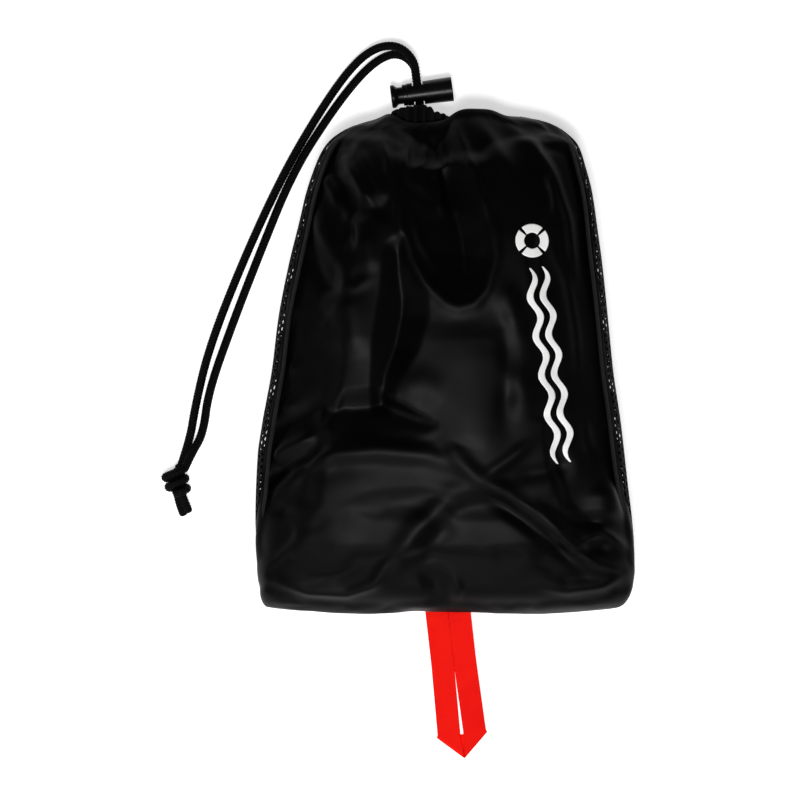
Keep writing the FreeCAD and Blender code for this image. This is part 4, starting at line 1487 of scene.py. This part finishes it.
tack_bars = []
for row_y in (12.5, 16.5):
    for k in range(26):
        x = -9.0 + 0.72 * k
        tack_bars.append((web_spot(x, row_y - 0.8, 0.7), web_spot(x + 0.36, row_y + 0.8, 0.7)))
stitch_bars("webbing_tack_stitches", tack_bars, 0.22, RED_THREAD, "webbing_bar_tacks")

hem_bars = []
for side in (-1, 1):
    for k in range(9):
        z = 3.6 + 0.62 * k
        x = CASING_EXIT[0] + side * 3.15
        hem_bars.append(((x - 0.6, 114.15, z), (x + 0.6, 114.2, z + 0.25)))
stitch_bars("hem_tack_stitches", hem_bars, 0.24, THREAD, "casing_bar_tacks")

# %% [markdown]
# ## Rope in the bag
# The rope is stuffed in by hand, a loop at a time, so it lies in uneven bends on
# top of each other. It is one braided line that wanders from side to side, seen
# through the net, with a hand loop at the mouth and a stopper knot at the base.

# %% Stuffed rope
ROPE_WIDE = 7.0
ROPE_LEVELS = (6.5, 13.6, 20.8, 28.0, 35.2, 41.5)
ROPE_STEP = 1.3 * MM


def room_across(y, level):
    """Half the width inside the bag at a place along it and a height, as a share."""
    waist, crown = float(widest_height(y)), float(spine_crown(y))
    rise = (level - waist) / (crown - waist) if level > waist else (waist - level) / waist
    return max(0.0, 1 - min(rise, 1.0) ** 2.5) ** 0.4


def stuffed_route():
    """Bends from side to side, level by level, each a little different."""
    draw = np.random.default_rng(11)
    spots = []
    for number, level in enumerate(ROPE_LEVELS):
        ys = np.arange(-96, 84, 8.6)
        if number % 2:
            ys = ys[::-1]
        for k, y in enumerate(ys):
            side = 1 if k % 2 else -1
            inset, lift = draw.uniform(7, 14), draw.uniform(-1.0, 1.0)
            jitter = draw.uniform(-1, 1, 3)
            if level > float(spine_crown(y)) - 11 or level > float(spine_crown(y + 8)) - 11:
                continue
            edge = float(right_outline(y) if side > 0 else left_outline(y))
            reach = edge * room_across(y, level + (3.5 if level > 22 else -3.5)) - side * inset
            spots.append((reach * 0.55, y - 2.6 + 2 * jitter[0], level + lift))
            spots.append((reach, y - 1.8 + jitter[1], level - 0.5 * lift))
            spots.append((reach, y + 3.4 + jitter[2], level + 0.5 * lift))
    return spots


rope_line, rope_length = read_route(stuffed_route(), ROPE_STEP)
ROPE = braided_tube(
    "stuffed_rope", rope_line, 0.5 * ROPE_WIDE * MM, 6, 3.4 * MM, 14, 0.5 * MM, FLOATING, "bag",
)
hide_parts("throw_rope_bundle")
print("stuffed rope", round(rope_length, 2), "m")

# %% Hand loop and stopper knot
def rope_end(name, spots):
    """A tight piece of the same rope, through a few points in millimetres."""
    line, _ = read_route(spots, 0.7 * MM)
    return braided_tube(
        name, line, 0.48 * ROPE_WIDE * MM, 8, 2.4 * MM, 32, 0.5 * MM, FLOATING, "bag",
    )


loop_low, loop_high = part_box("rope_hand_loop")
loop_middle = 0.5 * (loop_low + loop_high) / MM
loop_reach = 0.5 * (loop_high.x - loop_low.x) / MM - 0.5 * ROPE_WIDE
loop_spots = [
    (
        loop_middle.x + loop_reach * 1.04 * math.cos(t),
        loop_middle.y + loop_reach * 1.04 * math.sin(t), loop_middle.z + 0.6 * math.sin(2 * t)
    )
    for t in np.linspace(-0.5 * math.pi, 1.5 * math.pi, 13)
]
LOOP = rope_end("hand_loop", loop_spots)
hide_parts("rope_hand_loop")

knot_low, knot_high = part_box("rope_anchor_knot")
knot_mid = 0.5 * (knot_low + knot_high) / MM
STOPPER = (
    (-7, 4, 2), (-4, 0, 5), (3, -4, 4), (7, -2, -1), (4, 3, -4), (-3, 4, -3), (-6, -1, 0),
    (-2, -4, 1), (3, -1, 1), (7, 3, 3)
)
KNOT = rope_end(
    "stopper_knot", [(knot_mid.x + a, knot_mid.y + b, knot_mid.z + c) for a, b, c in STOPPER]
)
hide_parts("rope_anchor_knot")

# %% [markdown]
# ## Print on the front
# A plain white mark, a life ring over two water lines, is screen printed along the
# right of the front. It is a thin skin laid on the finished folds: each flat point
# is dropped onto the cloth from above and lifted a tenth of a millimetre.

# %% Drop the print onto the cloth
PRINT_TOP, PRINT_END = np.array((38.6, 53.0)), np.array((52.9, -46.0))
PRINT_LIFT = 0.14 * MM
WAVE_START, WAVE_LENGTH = 12.0, 17.6


def print_mark():
    graph = bpy.context.evaluated_depsgraph_get()
    tree = BVHTree.FromObject(FRONT, graph)
    way = (PRINT_END - PRINT_TOP) / np.linalg.norm(PRINT_END - PRINT_TOP)
    side = np.array((-way[1], way[0]))
    length = np.linalg.norm(PRINT_END - PRINT_TOP)
    flat, faces = [], []

    def patch(rows, columns, place):
        base = len(flat)
        for i in range(rows):
            for j in range(columns):
                flat.append(place(i / (rows - 1), j / (columns - 1)))
        faces.extend(tuple(base + k for k in face) for face in grid_faces(rows, columns))

    for quarter in range(4):
        start = math.radians(90 * quarter + 51)

        def ring(t, r, start=start):
            turn, reach = start + math.radians(78) * t, 3.6 + 3.9 * r
            return PRINT_TOP + np.array((math.cos(turn), math.sin(turn))) * reach

        patch(24, 9, ring)
    for offset in (-2.9, 2.9):

        def wave(t, r, offset=offset):
            run = WAVE_START + (length - WAVE_START) * t
            taper = min(1.0, 9 * t + 0.25, 9 * (1 - t) + 0.25)
            middle = offset + 1.7 * math.sin(2 * math.pi * (run - WAVE_START) / WAVE_LENGTH)
            return PRINT_TOP + way * run + side * (middle + (r - 0.5) * 3.0 * taper)

        patch(220, 7, wave)
    points = []
    for x, y in flat:
        hit, normal, _, _ = tree.ray_cast(Vector((x * MM, y * MM, 0.2)), Vector((0, 0, -1)))
        points.append(hit + normal * PRINT_LIFT)
    piece = make_piece("printed_mark", points, faces, INK, "bag")
    thicken(piece, 0.08 * MM)
    return piece


print_mark()
